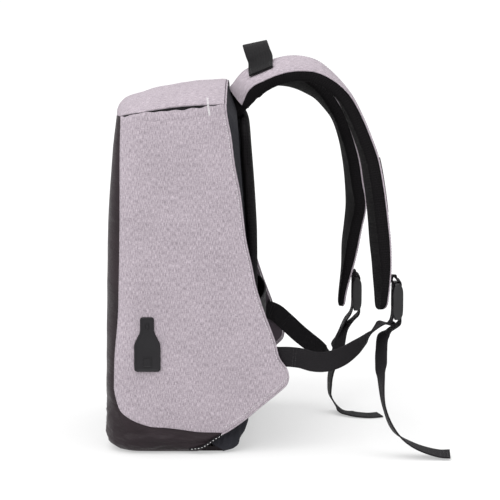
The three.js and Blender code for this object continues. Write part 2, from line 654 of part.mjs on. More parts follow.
/** The whole outline with its inward normals, as one loop. */
function backLoop() {
  const half = backOutline();
  const mirror = (p) => vec(-p.x, p.y, p.z);
  const loop = half.concat(half.slice(1, -1).reverse().map((q) => ({ p: mirror(q.p), rim: mirror(q.rim) })));
  return loop.map(({ p, rim }, k) => {
    const before = loop[(k + loop.length - 1) % loop.length].p;
    const along = loop[(k + 1) % loop.length].p.clone().sub(before).normalize();
    const foot = 1 - smoothstep(p.z, 3, 20); // 1 along the base
    const crown = smoothstep(p.z, SHOULDER - 2, SHOULDER + CROWN / 2); // 1 along the top
    return { p, rim, inside: vec(-along.z, 0, along.x), foot, crown };
  });
}

/** A loop of points set in from the outline, each at its own depth. */
const insetLoop = (loop, inset, y) => loop.map((q) => {
  const p = q.p.clone().addScaledVector(q.inside, inset(q));
  return vec(p.x, y(q, p), p.z);
});

/** A loop of points part of the way from the outline to the pad's rim. */
const partLoop = (loop, share, gap, y) => loop.map((q) => {
  const p = q.p.clone().lerp(q.rim, share)
    .addScaledVector(q.p.clone().sub(q.rim).normalize(), gap(q));
  return vec(p.x, y(q, p), p.z);
});

function backGusset() {
  const loop = backLoop();
  const underlap = (q) => RING_INSET * (1 - q.foot) + CROWN_SLACK * q.crown;
  const flatEdge = BASE_REAR + 2 * SEAM_GAP;
  const rows = [
    insetLoop(loop, underlap, (q) => lerp(zipY(q.p.z), flatEdge, q.foot)),
    insetLoop(loop, (q) => underlap(q) + 1.5 + 4 * q.foot,
      (q) => lerp(zipY(q.p.z) + 0.054 * DEPTH, BASE_REAR + 0.092 * DEPTH, q.foot)),
    partLoop(loop, 0.5, () => 0,
      (q, p) => lerp(Math.min(zipY(q.p.z) + 0.081 * DEPTH, backY(p.z) - PAD - RING_WALL), BASE_REAR + 0.135 * DEPTH, q.foot)),
    partLoop(loop, 1, (q) => 0.8 * smoothstep(q.foot, 0, 0.1),
      (q, p) => lerp(backY(p.z) - PAD - 0.6, backY(PAD_FOOT) - 1, q.foot)),
  ];
  const depth = rows.map((row, r) => row.map((p, k) => {
    // Along the base the last row ends beside the pad's rim, elsewhere in front of the pad.
    const direction = r === rows.length - 1 && loop[k].foot > 0
      ? vec(0, -1, 0) : inward(p, r === 0 ? Infinity : 0.16 * DEPTH);
    return p.clone().addScaledVector(direction, RING_WALL);
  }));
  const close = (row) => row.concat([row[0]]);
  return sheet("back_gusset", rows.map(close), depth.map(close));
}

function mainZipper() {
  const loop = backLoop();
  const kept = loop.map((q, k) => ({ ...q, k })).filter((q) => q.foot < 0.25);
  // The kept stations run up the right side, over the top and down the left side.
  const inset = (q) => WALL + 0.4 + CROWN_SLACK * q.crown;
  const outer = insetLoop(kept, inset, (q) => zipY(q.p.z) - ZIP_WIDTH);
  const wide = insetLoop(kept, inset, (q) => zipY(q.p.z) - 1.2);
  const into = (row, d) => row.map((p, i) => p.clone().addScaledVector(kept[i].inside, d));
  return sheet("main_zipper", [outer, wide], [into(outer, ZIP_TAPE), into(wide, ZIP_TAPE)]);
}

function backPad() {
  const loop = backLoop();
  const rim = loop.map((q) => q.rim);
  const spine = (p) => vec(0, 0, clamp(p.z, 0.31 * HEIGHT, 0.72 * HEIGHT));
  const ring = (share, y) => rim.map((p) => {
    const q = p.clone().lerp(spine(p), share);
    return vec(q.x, y(q), q.z);
  });
  const puff = (z) => PAD / 8 * Math.sin(clamp((z / HEIGHT - 0.13) / 0.73, 0, 1) * Math.PI);
  const solid = new Solid();
  const rings = [
    ring(1, (p) => backY(p.z) - PAD), ring(0.5, (p) => backY(p.z) - PAD),
    ring(0, (p) => backY(p.z) - PAD), ring(0, (p) => backY(p.z) - 5),
    ring(0.03, (p) => backY(p.z) - 1.4), ring(0.1, (p) => backY(p.z) - 0.2),
    ring(0.4, (p) => backY(p.z) + puff(p.z) * 0.5), ring(1, (p) => backY(p.z) + puff(p.z)),
  ].map((row) => row.map((p) => solid.add(p)));
  for (let r = 0; r + 1 < rings.length; r++) {
    for (let k = 0; k < rim.length; k++) {
      const n = (k + 1) % rim.length;
      solid.quad(rings[r][k], rings[r][n], rings[r + 1][n], rings[r + 1][k]);
    }
  }
  return solid.mesh("back_pad");
}

function luggageBand() {
  const top = 0.408 * HEIGHT;
  const half = 0.74 * HALF_WIDTH;
  const mid = top - BAND_HEIGHT / 2;
  const stations = [-1, -0.92, -0.7, -0.4, 0, 0.4, 0.7, 0.92, 1].map((s) => {
    const lift = BAND_BULGE * (1 - s * s) ** 0.8;
    return station(s * half, backY(mid) + WEBBING_THICK / 2 + CLEAR + lift, mid, [0, 0, 1]);
  });
  const rings = frames(stations, 14).map((f) => ringAt(f, flatSection(BAND_HEIGHT, WEBBING_THICK)));
  return tube("luggage_band", rings);
}

// Edge piping.

function edgePiping() {
  const reach = PIPING_RADIUS + 0.6;
  const foot = line(sideLine(PIPING_FOOT.concat([WING_LOWER_EDGE[0]])));
  const edge = [0, 0.18, 0.35, 0.5, 0.65, 0.78, 0.9, 1].map(foot)
    .concat(WING_STATIONS.map(wingLower), FRONT_SEAM_STATIONS.slice(1).map(wingRear));
  const right = [];
  for (let k = 0; k < edge.length; k++) {
    const p = edge[k];
    const before = p.clone().sub(edge[Math.max(k - 1, 0)]).normalize();
    const after = edge[Math.min(k + 1, edge.length - 1)].clone().sub(p).normalize();
    const along = before.clone().add(after).normalize();
    const mitre = 1 / Math.max(0.6, along.dot(k === 0 ? after : before) || 1);
    const outward = vec(0, along.z, -along.y).multiplyScalar(mitre);
    // Over the base wrap the piping lies on the surface; past it, it binds the flap's edge.
    const off = p.z > 0.13 * HEIGHT ? 1 : smoothstep(p.y, 0.222 * DEPTH, 0.262 * DEPTH);
    const turn = off * Math.PI / 2;
    const down = Math.max(0, (BASE_CORNER - p.z) / BASE_CORNER); // how far the surface faces the floor
    const out = Math.sqrt(1 - down * down);
    const lift = (reach + 0.6) * Math.cos(turn);
    const sink = smoothstep(off, 0.75, 1) * panelThickness(p) / 2;
    right.push(vec(sideX(p.y, p.z) - baseInset(p.z) + out * lift - sink,
      p.y + outward.y * reach * Math.sin(turn),
      p.z - down * lift + outward.z * reach * Math.sin(turn)));
  }
  const wide = halfWidth(SHOULDER);
  const rearY = SHOULDER_Y + reach;
  const over = [0.985, 0.94, 0.86, 0.74, 0.58, 0.38, 0.18, 0].map((s) =>
    vec((wide - 2) * s, rearY, SHOULDER - 2 + SEAM_GAP + CROWN * crownShare(s)));
  const half = right.concat(over);
  const path = half.concat(half.slice(0, -1).reverse().map((p) => vec(-p.x, p.y, p.z)));
  const rings = path.map((p, k) => {
    const along = path[Math.min(k + 1, path.length - 1)].clone()
      .sub(path[Math.max(k - 1, 0)]).normalize();
    const one = vec(0, 0, 0).crossVectors(along, Math.abs(along.x) > 0.9 ? vec(0, 1, 0) : vec(1, 0, 0))
      .normalize();
    const two = vec(0, 0, 0).crossVectors(along, one);
    return [0, 72, 144, 216, 288].map((deg) => {
      const a = THREE.MathUtils.degToRad(deg);
      return p.clone().addScaledVector(one, PIPING_RADIUS * Math.cos(a))
        .addScaledVector(two, PIPING_RADIUS * Math.sin(a));
    });
  });
  return tube("edge_piping", rings);
}

// Shoulder straps.

function strapFrames(table, steps) {
  return frames(table.map(([x, y, z, ay, az, half]) =>
    station(x * HALF_WIDTH, y * DEPTH, z * HEIGHT, [Math.sqrt(1 - ay * ay - az * az), ay, az], half)), steps);
}

/** Strap frames whose normal points away from the wearer's back. */
function outerFrames(table, steps) {
  return strapFrames(table, steps).map((f) => {
    const up = f.t < 0.3 ? f.normal.z : f.normal.y;
    return up < 0 ? { ...f, normal: f.normal.clone().negate() } : f;
  });
}

const STRAP_STEPS = 28;

/** How thick a strap is at a share of its length, as a share of its thickness at the shoulder. */
const taper = (t) => lerp(1, STRAP_END, smoothstep(t, 0.78, 1));

function strapPad(table, name) {
  const rings = outerFrames(table, STRAP_STEPS).map((f) => {
    const w = f.extra;
    const h = STRAP_PAD / 2 * taper(f.t);
    return ringAt(f, [[-w + 2, -h], [0, -h - 0.6], [w - 2, -h], [w, -h + 2.5], [w, h], [0, h], [-w, h], [-w, -h + 2.5]]);
  });
  return tube(name, rings);
}

function strapCover(table, name) {
  const rings = outerFrames(table, STRAP_STEPS).map((f) => {
    const w = f.extra;
    const low = STRAP_PAD / 2 * taper(f.t) + 0.35;
    const high = low + STRAP_COVER;
    const crown = STRAP_CROWN * taper(f.t);
    return ringAt(f, [[-w, low], [0, low], [w, low], [w, high], [w * 0.7, high + crown * 0.75],
      [0, high + crown], [-w * 0.7, high + crown * 0.75], [-w, high]]);
  });
  return tube(name, rings);
}

const strapTop = (t) => (STRAP_PAD / 2 + STRAP_CROWN) * taper(t) + 0.35 + STRAP_COVER;
const STRAP_TOP = strapTop(0);

const OVERLAY_SHARE = 0.45; // of the strap's width
const OVERLAY_THICK = 1;

/** A patch of the strap's outer face between two shares of its length. */
function strapOverlay(table, name, from, to) {
  const all = outerFrames(table, 56).filter((f) => f.t >= from && f.t <= to);
  const rings = all.map((f) => {
    const w = f.extra * OVERLAY_SHARE;
    const low = STRAP_TOP + 0.4;
    const high = low + OVERLAY_THICK;
    return ringAt(f, [[-w, low - 0.3], [0, low], [w, low - 0.3], [w, high - 0.3], [0, high], [-w, high - 0.3]]);
  });
  return tube(name, rings);
}

// Webbing, adjusters, handle, port cover.

const place = ([x, y, z]) => vec(x * HALF_WIDTH, y * DEPTH, z * HEIGHT);
const webStations = (table) => table.map((row) => ({ at: place(row), across: vec(...row.slice(3)).normalize() }));
const ribbon = (name, stations, steps, width, thickness) =>
  tube(name, frames(stations, steps).map((f) => ringAt(f, flatSection(width, thickness))));

/** A flat outline with holes, given thickness and moved into place. */
function extruded(name, shape, depth, move) {
  const flat = new THREE.ExtrudeGeometry(shape, { depth, bevelEnabled: false, curveSegments: 3 });
  const source = flat.index ? flat.toNonIndexed() : flat;
  const at = source.getAttribute("position");
  const solid = new Solid();
  for (let i = 0; i < at.count; i += 3) {
    solid.triangle(...[0, 1, 2].map((k) =>
      solid.add(move(vec(at.getX(i + k), at.getY(i + k), at.getZ(i + k))))));
  }
  return solid.mesh(name);
}

function rectangle(target, wide, tall, middle, cut) {
  const [x, y] = [wide / 2, tall / 2];
  target.moveTo(-x + cut, middle - y);
  for (const [a, b] of [[x - cut, -y], [x, -y + cut], [x, y - cut], [x - cut, y], [-x + cut, y],
    [-x, y - cut], [-x, -y + cut]]) target.lineTo(a, middle + b);
  target.closePath();
  return target;
}

function adjuster(middle, name) {
  const at = place(middle);
  const plate = rectangle(new THREE.Shape(), ADJUSTER.wide, ADJUSTER.tall, 0, 5);
  for (const height of [ADJUSTER.upper, ADJUSTER.lower]) {
    plate.holes.push(rectangle(new THREE.Path(), ADJUSTER.slot, ADJUSTER.slotTall, height, 1));
  }
  return extruded(name, plate, ADJUSTER.thick,
    (p) => vec(at.x + p.x, at.y - ADJUSTER.thick / 2 + p.z, at.z + p.y));
}

/** The doubled webbing that holds an adjuster's top bar against the strap. */
function adjusterLoop(middle, strap, name) {
  const at = place(middle);
  const around = ADJUSTER.thick / 2 + WEBBING_THICK / 2 + 0.5;
  const strapEnd = outerFrames(strap, 60);
  const x = at.x;
  const surface = (height, lift) => {
    const f = strapEnd.reduce((best, g) =>
      (g.t > 0.6 && Math.abs(g.at.z - height) < Math.abs(best.at.z - height) ? g : best));
    const out = strapTop(f.t) + WEBBING_THICK / 2 + 0.5 + lift;
    const beside = (x - f.at.x - f.normal.x * out) / f.across.x;
    return { at: f.at.clone().addScaledVector(f.across, beside).addScaledVector(f.normal, out), across: f.across };
  };
  const layer = WEBBING_THICK + 0.4;
  const slot = at.z + ADJUSTER.upper;
  const [top, low] = [14, 5].map((up) => surface(at.z + ADJUSTER.tall / 2 + up, 0));
  const [topBack, lowBack] = [12, 8].map((up) => surface(at.z + ADJUSTER.tall / 2 + up, layer));
  lowBack.at.y = Math.max(lowBack.at.y, at.y);
  const round = [
    [-around, slot + 9], [-around, slot + 4], [-around * 0.92, slot + 1], [-around * 0.45, slot - 0.9],
    [0, slot - 1.2], [around * 0.45, slot - 0.9], [around * 0.92, slot + 1], [around, slot + 4],
    [around, slot + 11.5],
  ].map(([y, z]) => ({ at: vec(x, at.y + y, z), across: vec(1, 0, 0) }));
  return ribbon(name, [top, low, ...round, lowBack, topBack].map((q) => ({ ...q, cuts: 1 })), 0,
    WEBBING - 1, WEBBING_THICK);
}

/** One strap's webbing: from the flap, round the adjuster's lower bar, and down as a loose tail. */
function webbing(lower, tail, middle, name) {
  const at = place(middle);
  const around = ADJUSTER.thick / 2 + WEBBING_THICK / 2 + 0.5;
  const turn = ADJUSTER.lower;
  const bend = [[-around - 3, turn - 19], [-around - 0.8, turn - 13], [-around, turn - 5], [-around * 0.92, turn - 1.5],
    [-around * 0.45, turn + 0.5], [0, turn + 0.9], [around * 0.45, turn + 0.5],
    [around * 0.92, turn - 1.5], [around, turn - 5], [around + 0.3, turn - 12], [around - 0.5, turn - 19]];
  const over = bend.map(([y, z]) => ({ at: vec(at.x, at.y + y, at.z + z), across: vec(1, 0, 0), cuts: 1 }));
  return ribbon(name, [...webStations(lower), ...over, ...webStations(tail)], 0, WEBBING, WEBBING_THICK);
}

const HANDLE_FOOT = 0.55 * DEPTH;

function carryHandle() {
  const foot = (table, side) => {
    const f = outerFrames(table, 60).reduce((best, g) =>
      (Math.abs(g.at.y - HANDLE_FOOT) < Math.abs(best.at.y - HANDLE_FOOT) ? g : best));
    return [12, 3, -6].map((a) => ({
      at: f.at.clone().addScaledVector(f.across, side * a).addScaledVector(f.normal, STRAP_TOP + HANDLE_THICK / 2 + 3.2 * CLEAR),
      across: f.tangent.clone(),
    }));
  };
  const arch = [[0.285, 0.522, 1.054, 0.42], [0.24, 0.507, 1.070, 0.3], [0.165, 0.492, 1.088, 0.24],
    [0.075, 0.486, 1.096, 0.21]];
  const right = arch.map(([x, y, z, slope]) => ({ at: place([x, y, z]), across: vec(0, 1, slope).normalize() }));
  const left = right.slice().reverse().map(({ at, across }) => ({ at: vec(-at.x, at.y, at.z), across }));
  return ribbon("carry_handle", [...foot(RIGHT_STRAP, 1), ...right, ...left,
    ...foot(LEFT_STRAP, -1).reverse()], 36, HANDLE_WIDTH, HANDLE_THICK);
}

function portCover() {
  const shape = new THREE.Shape();
  const right = PORT_OUTLINE.map(([a, b]) => [a * HALF_WIDTH, b * HALF_WIDTH]);
  const around = right.concat(right.slice().reverse().map(([a, b]) => [-a, b]));
  around.forEach(([a, b], k) => (k ? shape.lineTo(a, b) : shape.moveTo(a, b)));
  shape.closePath();
  const [y, z] = [PORT_MIDDLE[0] * DEPTH, PORT_MIDDLE[1] * HEIGHT];
  const x = sideX(y, z) + 0.5;
  return extruded("port_cover", shape, PORT_THICK, (p) => vec(x + p.z, y + p.x, z + p.y));
}

bag.add(
  frontPanel(),
  sidePanel(1, "side_panel_right"),
  sidePanel(-1, "side_panel_left"),
  wingLining(1, "wing_lining_right"),
  wingLining(-1, "wing_lining_left"),
  topPanel(),
  bottomPanel(),
  backGusset(),
  mainZipper(),
  backPad(),
  luggageBand(),
  edgePiping(),
  strapPad(RIGHT_STRAP, "strap_pad_right"),
  strapCover(RIGHT_STRAP, "strap_cover_right"),
  strapPad(LEFT_STRAP, "strap_pad_left"),
  strapCover(LEFT_STRAP, "strap_cover_left"),
  strapOverlay(RIGHT_STRAP, "strap_overlay_right", 0.56, 0.72),
  strapOverlay(LEFT_STRAP, "strap_overlay_left", 0.56, 0.72),
  adjuster(RIGHT_ADJUSTER, "adjuster_right"),
  adjuster(LEFT_ADJUSTER, "adjuster_left"),
  adjusterLoop(RIGHT_ADJUSTER, RIGHT_STRAP, "adjuster_loop_right"),
  adjusterLoop(LEFT_ADJUSTER, LEFT_STRAP, "adjuster_loop_left"),
  webbing(RIGHT_LOWER, RIGHT_TAIL, RIGHT_ADJUSTER, "webbing_right"),
  webbing(LEFT_LOWER, LEFT_TAIL, LEFT_ADJUSTER, "webbing_left"),
  carryHandle(),
  portCover(),
);

export default bag;
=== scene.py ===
"""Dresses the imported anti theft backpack: cloth panels, padded back, straps, webbing and trim."""

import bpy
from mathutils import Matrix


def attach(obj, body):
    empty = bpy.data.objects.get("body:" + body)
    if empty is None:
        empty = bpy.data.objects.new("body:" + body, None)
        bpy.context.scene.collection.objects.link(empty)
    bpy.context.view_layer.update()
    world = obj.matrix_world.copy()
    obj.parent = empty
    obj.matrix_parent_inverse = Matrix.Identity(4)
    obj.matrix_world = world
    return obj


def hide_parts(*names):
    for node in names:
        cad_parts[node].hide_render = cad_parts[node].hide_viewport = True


bl_info = {
    "name": "Anti theft backpack",
    "version": (1, 0, 0),
    "blender": (4, 5, 0),
    "location": "View3D > Sidebar > Backpack",
    "description": "Builds the cloth, straps and trim of a hidden-zip backpack over its fixed frame",
    "category": "Object",
}

import math

import bmesh
import bpy
import numpy as np
from mathutils import Vector, noise
from mathutils.kdtree import KDTree

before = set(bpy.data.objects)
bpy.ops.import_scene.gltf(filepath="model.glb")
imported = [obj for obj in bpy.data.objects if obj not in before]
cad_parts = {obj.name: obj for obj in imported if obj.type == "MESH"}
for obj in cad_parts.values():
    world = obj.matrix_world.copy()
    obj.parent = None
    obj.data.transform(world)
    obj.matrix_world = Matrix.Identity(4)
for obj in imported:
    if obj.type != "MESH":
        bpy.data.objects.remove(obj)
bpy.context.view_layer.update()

# Sizes in millimetres, as in the solids. Meshes are turned into metres when they are made.
MM = 0.001
SHARP = 48  # degrees, past which an edge is shaded sharp
OCTAVES = 2  # of the noise in folds
PER_POINT = 40  # steps of a smooth line from one given point to the next
HEIGHT = 455.0
DEPTH = 185.0
HALF_WIDTH = 150.0
BODY = [HALF_WIDTH, DEPTH, HEIGHT]  # places are in shares of these
WALL = 4.0
WING_WALL = 2.2
LINING = 1.4
BASE_BOARD = 6.0
FRONT_CORNER = 38.0
BASE_CORNER = 18.0
FRONT_BOW = 6.0
SEAM_GAP = 0.35
CROWN = 27.0
CROWN_STEPS = (0.985, 0.94, 0.86, 0.74, 0.58, 0.38, 0.18, 0)  # shares of the half width
RING_WALL = 3.0
RING_INSET = WALL + 0.8
GATHER_PITCH = 8.5  # of the gusset's gathers beside the base
CROWN_SLACK = 1.6
PAD = 12.0
PAD_SIDE_INSET = 24.0
PAD_TOP_INSET = 30.0
PAD_FOOT = 34.0
PAD_CORNER = 22.0
CHANNEL_X = 42  # of the sewn channels down the padded back
CHANNEL_WIDTH = 5
CHANNEL_DEPTH = 2.2
CHANNEL_FOOT = (230, 262)
CHANNEL_TOP = (370, 395)
BAND_HEIGHT = 74.0
BAND_BULGE = 10.0
CLEAR = 0.3
STRAP_PAD = 14.0
STRAP_COVER = 1.6
STRAP_CROWN = 3.0
STRAP_END = 0.5
TIP_START = 0.98  # share of a strap's length where its end starts to round
FOAM_BUNCH = 4.0  # how far the foam bunches inside the bend over the shoulder
BUNCH_AT = 27
BUNCH_REACH = 11
FOAM_PRESS = 3.2  # how far it is pressed flat where it is sewn in
PRESS_REACH = 12
STRAP_TOP = STRAP_PAD / 2 + 0.35 + STRAP_COVER + STRAP_CROWN
OVERLAY_SHARE = 0.45
HANDLE_FOOT = 0.55 * DEPTH
WEBBING = 25.0
WEBBING_THICK = 2.0
HANDLE_WIDTH = 32.0
HANDLE_THICK = 2.6
RAIL_DEPTH = 12.5  # of the adjusters' sides
PIPING_RADIUS = 1.7
BINDING_RADIUS = 1.15
BASE_SHARE = 0.6
HEM = 15.0  # height of the sewn line round the base wrap
BARTACK = ((32.9, 434.0), (35.5, 414.0))  # the ends of the bar at the pocket, as depth and height
POCKET_MOUTH = (-0.08, 0.13, 3.0)
SLIT_GAP = 1.4
LIP_WAVES = ((0.45, 5.3), (0.35, 2.9))  # of the slit's lower lip, as a share of the gap and a size
# The dark strip between the slit's lips is painted shade, a dark sheet standing in for shade.
SLIT_DEPTH = 1.7  # from the cloth's surface to the dark strip between the slit's lips

# Profiles as [height, depth] in shares of HEIGHT and DEPTH, and edge lines as [depth, height].
FRONT_PROFILE = [
    [0.000, -0.492], [0.044, -0.503], [0.191, -0.503], [0.376, -0.495],
    [0.618, -0.481], [0.796, -0.451], [0.919, -0.422], [1.011, -0.405],
]
BACK_PROFILE = [
    [0.000, 0.270], [0.022, 0.365], [0.042, 0.405], [0.075, 0.454], [0.112, 0.482],
    [0.198, 0.495], [0.330, 0.497], [0.536, 0.497], [0.589, 0.492], [0.703, 0.476],
    [0.798, 0.459], [0.859, 0.449], [0.923, 0.432], [0.967, 0.422],
]
ZIP_PROFILE = [
    [0.000, 0.100], [0.020, 0.119], [0.033, 0.178], [0.064, 0.249], [0.099, 0.281],
    [0.198, 0.303], [0.549, 0.324], [0.725, 0.303], [0.879, 0.270], [0.938, 0.243], [1.011, 0.238],
]
WIDTH_PROFILE = [
    [0.000, 0.975], [0.130, 0.995], [0.330, 1.005], [0.550, 1.000],
    [0.725, 0.980], [0.880, 0.940], [0.950, 0.918], [1.020, 0.900],
]
FRONT_SEAM = [
    [-0.451, 0.176], [-0.443, 0.264], [-0.418, 0.367], [-0.407, 0.475], [-0.399, 0.624],
    [-0.398, 0.714], [-0.398, 0.820], [-0.395, 0.905],
]
BASE_SEAM = [
    [-0.451, 0.176], [-0.434, 0.145], [-0.404, 0.116], [-0.334, 0.096], [-0.267, 0.084],
    [-0.200, 0.076], [-0.097, 0.073], [0.002, 0.068], [0.103, 0.062], [0.270, 0.060],
]
WING_LOWER_EDGE = [
    [0.270, 0.060], [0.306, 0.068], [0.407, 0.097], [0.520, 0.136],
    [0.649, 0.180], [0.689, 0.197], [0.699, 0.213],
]
WING_REAR_EDGE = [
    [0.699, 0.213], [0.688, 0.233], [0.637, 0.264], [0.607, 0.310], [0.536, 0.388],
    [0.480, 0.461], [0.457, 0.509], [0.418, 0.580], [0.398, 0.645], [0.378, 0.709],
    [0.344, 0.780], [0.321, 0.853], [0.298, 0.901], [0.288, 0.938],
]
POCKET_SLIT = [
    [-0.395, 0.905], [-0.312, 0.913], [-0.261, 0.916], [-0.168, 0.923], [-0.054, 0.930],
    [0.034, 0.934], [0.108, 0.936], [0.183, 0.937], [0.288, 0.938],
]
PIPING_FOOT = [
    [0.050, 0.016], [0.097, 0.018], [0.137, 0.022], [0.191, 0.035], [0.243, 0.051],
]
RIGHT_STRAP = [
    [0.335, 0.389, 0.945, 0.23, -0.35, 31],
    [0.355, 0.461, 0.987, 0.12, -0.34, 31],
    [0.364, 0.554, 1.004, 0.05, -0.32, 31],
    [0.377, 0.642, 1.018, 0.03, -0.31, 31],
    [0.389, 0.721, 1.025, 0.03, -0.3, 31],
    [0.401, 0.801, 1.025, 0.04, -0.28, 31],
    [0.414, 0.884, 1.017, 0.05, -0.25, 31],
    [0.425, 0.974, 0.994, 0.07, -0.2, 31],
    [0.437, 1.053, 0.962, 0.08, -0.15, 31],
    [0.450, 1.114, 0.922, 0.08, -0.11, 31],
    [0.477, 1.202, 0.838, 0.08, -0.05, 31],
    [0.491, 1.246, 0.783, 0.09, -0.03, 31],
    [0.519, 1.280, 0.706, 0.1, 0, 31],
    [0.546, 1.301, 0.635, 0.11, 0, 31],
    [0.573, 1.321, 0.546, 0.13, 0, 31],
    [0.587, 1.330, 0.493, 0.13, 0, 31],
    [0.622, 1.331, 0.434, 0.12, 0, 28],
    [0.655, 1.326, 0.378, 0.1, 0, 20],
]
LEFT_STRAP = [
    [-0.335, 0.389, 0.945, -0.23, 0.35, 31],
    [-0.353, 0.454, 0.983, -0.12, 0.34, 31],
    [-0.360, 0.546, 0.998, -0.04, 0.32, 31],
    [-0.367, 0.632, 1.007, 0, 0.31, 31],
    [-0.373, 0.714, 1.005, 0, 0.3, 31],
    [-0.378, 0.795, 0.995, 0, 0.28, 31],
    [-0.385, 0.870, 0.979, 0, 0.25, 31],
    [-0.397, 0.946, 0.956, 0, 0.2, 31],
    [-0.417, 1.016, 0.923, 0, 0.14, 31],
    [-0.440, 1.078, 0.884, 0, 0.08, 31],
    [-0.472, 1.130, 0.830, 0.03, 0.03, 31],
    [-0.491, 1.170, 0.765, 0.08, 0, 31],
    [-0.511, 1.194, 0.699, 0.1, 0, 31],
    [-0.532, 1.212, 0.633, 0.16, 0, 31],
    [-0.553, 1.194, 0.567, 0.1, 0, 31],
    [-0.567, 1.171, 0.501, 0.06, 0, 31],
    [-0.592, 1.147, 0.422, -0.02, 0, 30],
    [-0.603, 1.126, 0.366, -0.04, 0, 26],
    [-0.620, 1.116, 0.323, -0.04, 0, 18],
]
RIGHT_LOWER = [
    [0.963, 0.565, 0.268, 0, 0, 1],
    [0.963, 0.640, 0.267, 0, 0, 1],
    [0.966, 0.715, 0.267, 0, 0, 1],
    [0.980, 0.790, 0.264, 0, 0, 1],
    [0.987, 0.865, 0.256, 0, 0, 1],
    [0.973, 0.946, 0.254, 0, -0.1, 1],
    [0.940, 1.049, 0.264, 0.2, -0.2, 0.95],
    [0.887, 1.148, 0.286, 0.55, -0.3, 0.8],
    [0.840, 1.216, 0.306, 0.85, -0.3, 0.45],
    [0.790, 1.270, 0.325, 1, -0.1, 0.1],
    [0.722, 1.335, 0.342, 1, 0, 0],
]
RIGHT_TAIL = [
    [0.685, 1.385, 0.322, 1, 0, 0],
    [0.705, 1.345, 0.307, 0.9, 0.44, 0],
    [0.747, 1.330, 0.269, 0.9, 0.44, 0],
    [0.800, 1.326, 0.237, 0.9, 0.42, 0],
    [0.853, 1.324, 0.207, 0.97, 0.24, 0],
    [0.953, 1.340, 0.129, 1, 0.08, 0],
    [1.013, 1.405, 0.069, 0.97, 0.15, 0.1],
    [1.060, 1.530, 0.033, 0.98, -0.05, 0],
    [1.080, 1.690, 0.013, 0.98, -0.1, -0.1],
    [1.087, 1.765, 0.012, 0.98, -0.1, -0.16],
]
LEFT_LOWER = [
    [-0.958, 0.565, 0.290, 0, 0, 1],
    [-0.958, 0.640, 0.278, 0, 0.2, 1],
    [-0.964, 0.715, 0.252, 0, 0.5, 0.85],
    [-0.970, 0.825, 0.210, 0, 0.6, 0.8],
    [-0.947, 0.940, 0.174, 0.1, 0.5, 0.85],
    [-0.893, 1.020, 0.152, 0.3, 0.3, 0.9],
    [-0.833, 1.075, 0.160, 0.7, 0.2, 0.6],
    [-0.765, 1.085, 0.192, 0.95, 0.1, 0.2],
    [-0.700, 1.115, 0.232, 1, 0, 0],
    [-0.640, 1.152, 0.272, 1, 0, 0],
]
LEFT_TAIL = [
    [-0.612, 1.215, 0.280, 1, 0, 0],
    [-0.600, 1.150, 0.252, 0.95, 0.3, 0],
    [-0.600, 1.105, 0.194, 0.85, 0.52, 0],
    [-0.580, 1.050, 0.117, 0.98, 0.2, 0],
    [-0.560, 1.040, 0.085, 0.99, 0.15, 0],
    [-0.533, 1.045, 0.050, 0.99, 0.1, 0],
    [-0.470, 1.110, 0.014, 0.98, 0.05, 0.05],
    [-0.380, 1.190, 0.0062, 0.98, 0, 0],
    [-0.330, 1.310, 0.004, 0.98, 0, 0],
    [-0.360, 1.400, 0.004, 0.98, 0.05, 0],
]
PORT_OUTLINE = [
    [0.090, -0.223], [0.103, -0.215], [0.106, -0.195], [0.106, -0.005], [0.100, 0.015],
    [0.062, 0.090], [0.056, 0.112], [0.056, 0.212], [0.046, 0.223],
]
CROWN_RISE = [
    [-0.424, 0.22], [-0.405, 0.5], [-0.375, 0.68], [-0.285, 0.78], [-0.195, 0.87],
    [-0.075, 0.91], [0.045, 0.94], [0.162, 0.98], [0.262, 1.0],
]
ADJUSTER = {"wide": 34, "tall": 46, "thick": 6.0, "slot": 27, "slotTall": 8, "upper": 12.5, "lower": -9}
ROUND_BAR = ADJUSTER["thick"] / 2 + WEBBING_THICK / 2 + 0.5  # from a bar's middle to its webbing's
RIGHT_ADJUSTER = [0.665, 1.432, 0.404]
LEFT_ADJUSTER = [-0.605, 1.228, 0.358]
PORT_MIDDLE = [-0.218, 0.303]


# Shape functions, the same as in the solids.
def profile(points, x_scale=1.0, y_scale=1.0):
    """A smooth function through [x, y] points that never overshoots between them."""
    p = np.array(points, float)
    x, y = p[:, 0] * x_scale, p[:, 1] * y_scale
    slope = np.diff(y) / np.diff(x)
    tangent = np.empty(len(x))
    tangent[0], tangent[-1] = slope[0], slope[-1]
    a, b = slope[:-1], slope[1:]
    both = a + b
    tangent[1:-1] = np.where(a * b <= 0, 0, 2 * a * b / np.where(both == 0, 1, both))

    def at(t):
        v = np.clip(np.asarray(t, float), x[0], x[-1])
        i = np.clip(np.searchsorted(x, v, side="left") - 1, 0, len(x) - 2)
        span = x[i + 1] - x[i]
        s = (v - x[i]) / span
        return ((2 * s**3 - 3 * s**2 + 1) * y[i] + (s**3 - 2 * s**2 + s) * span * tangent[i]
                + (3 * s**2 - 2 * s**3) * y[i + 1] + (s**3 - s**2) * span * tangent[i + 1])

    return at


def smoothstep(v, low, high):
    s = np.clip((np.asarray(v, float) - low) / (high - low), 0, 1)
    return s * s * (3 - 2 * s)


def mix(a, b, t):
    return a + (b - a) * t


def unit(v):
    return v / np.maximum(np.linalg.norm(v, axis=-1, keepdims=True), 1e-9)


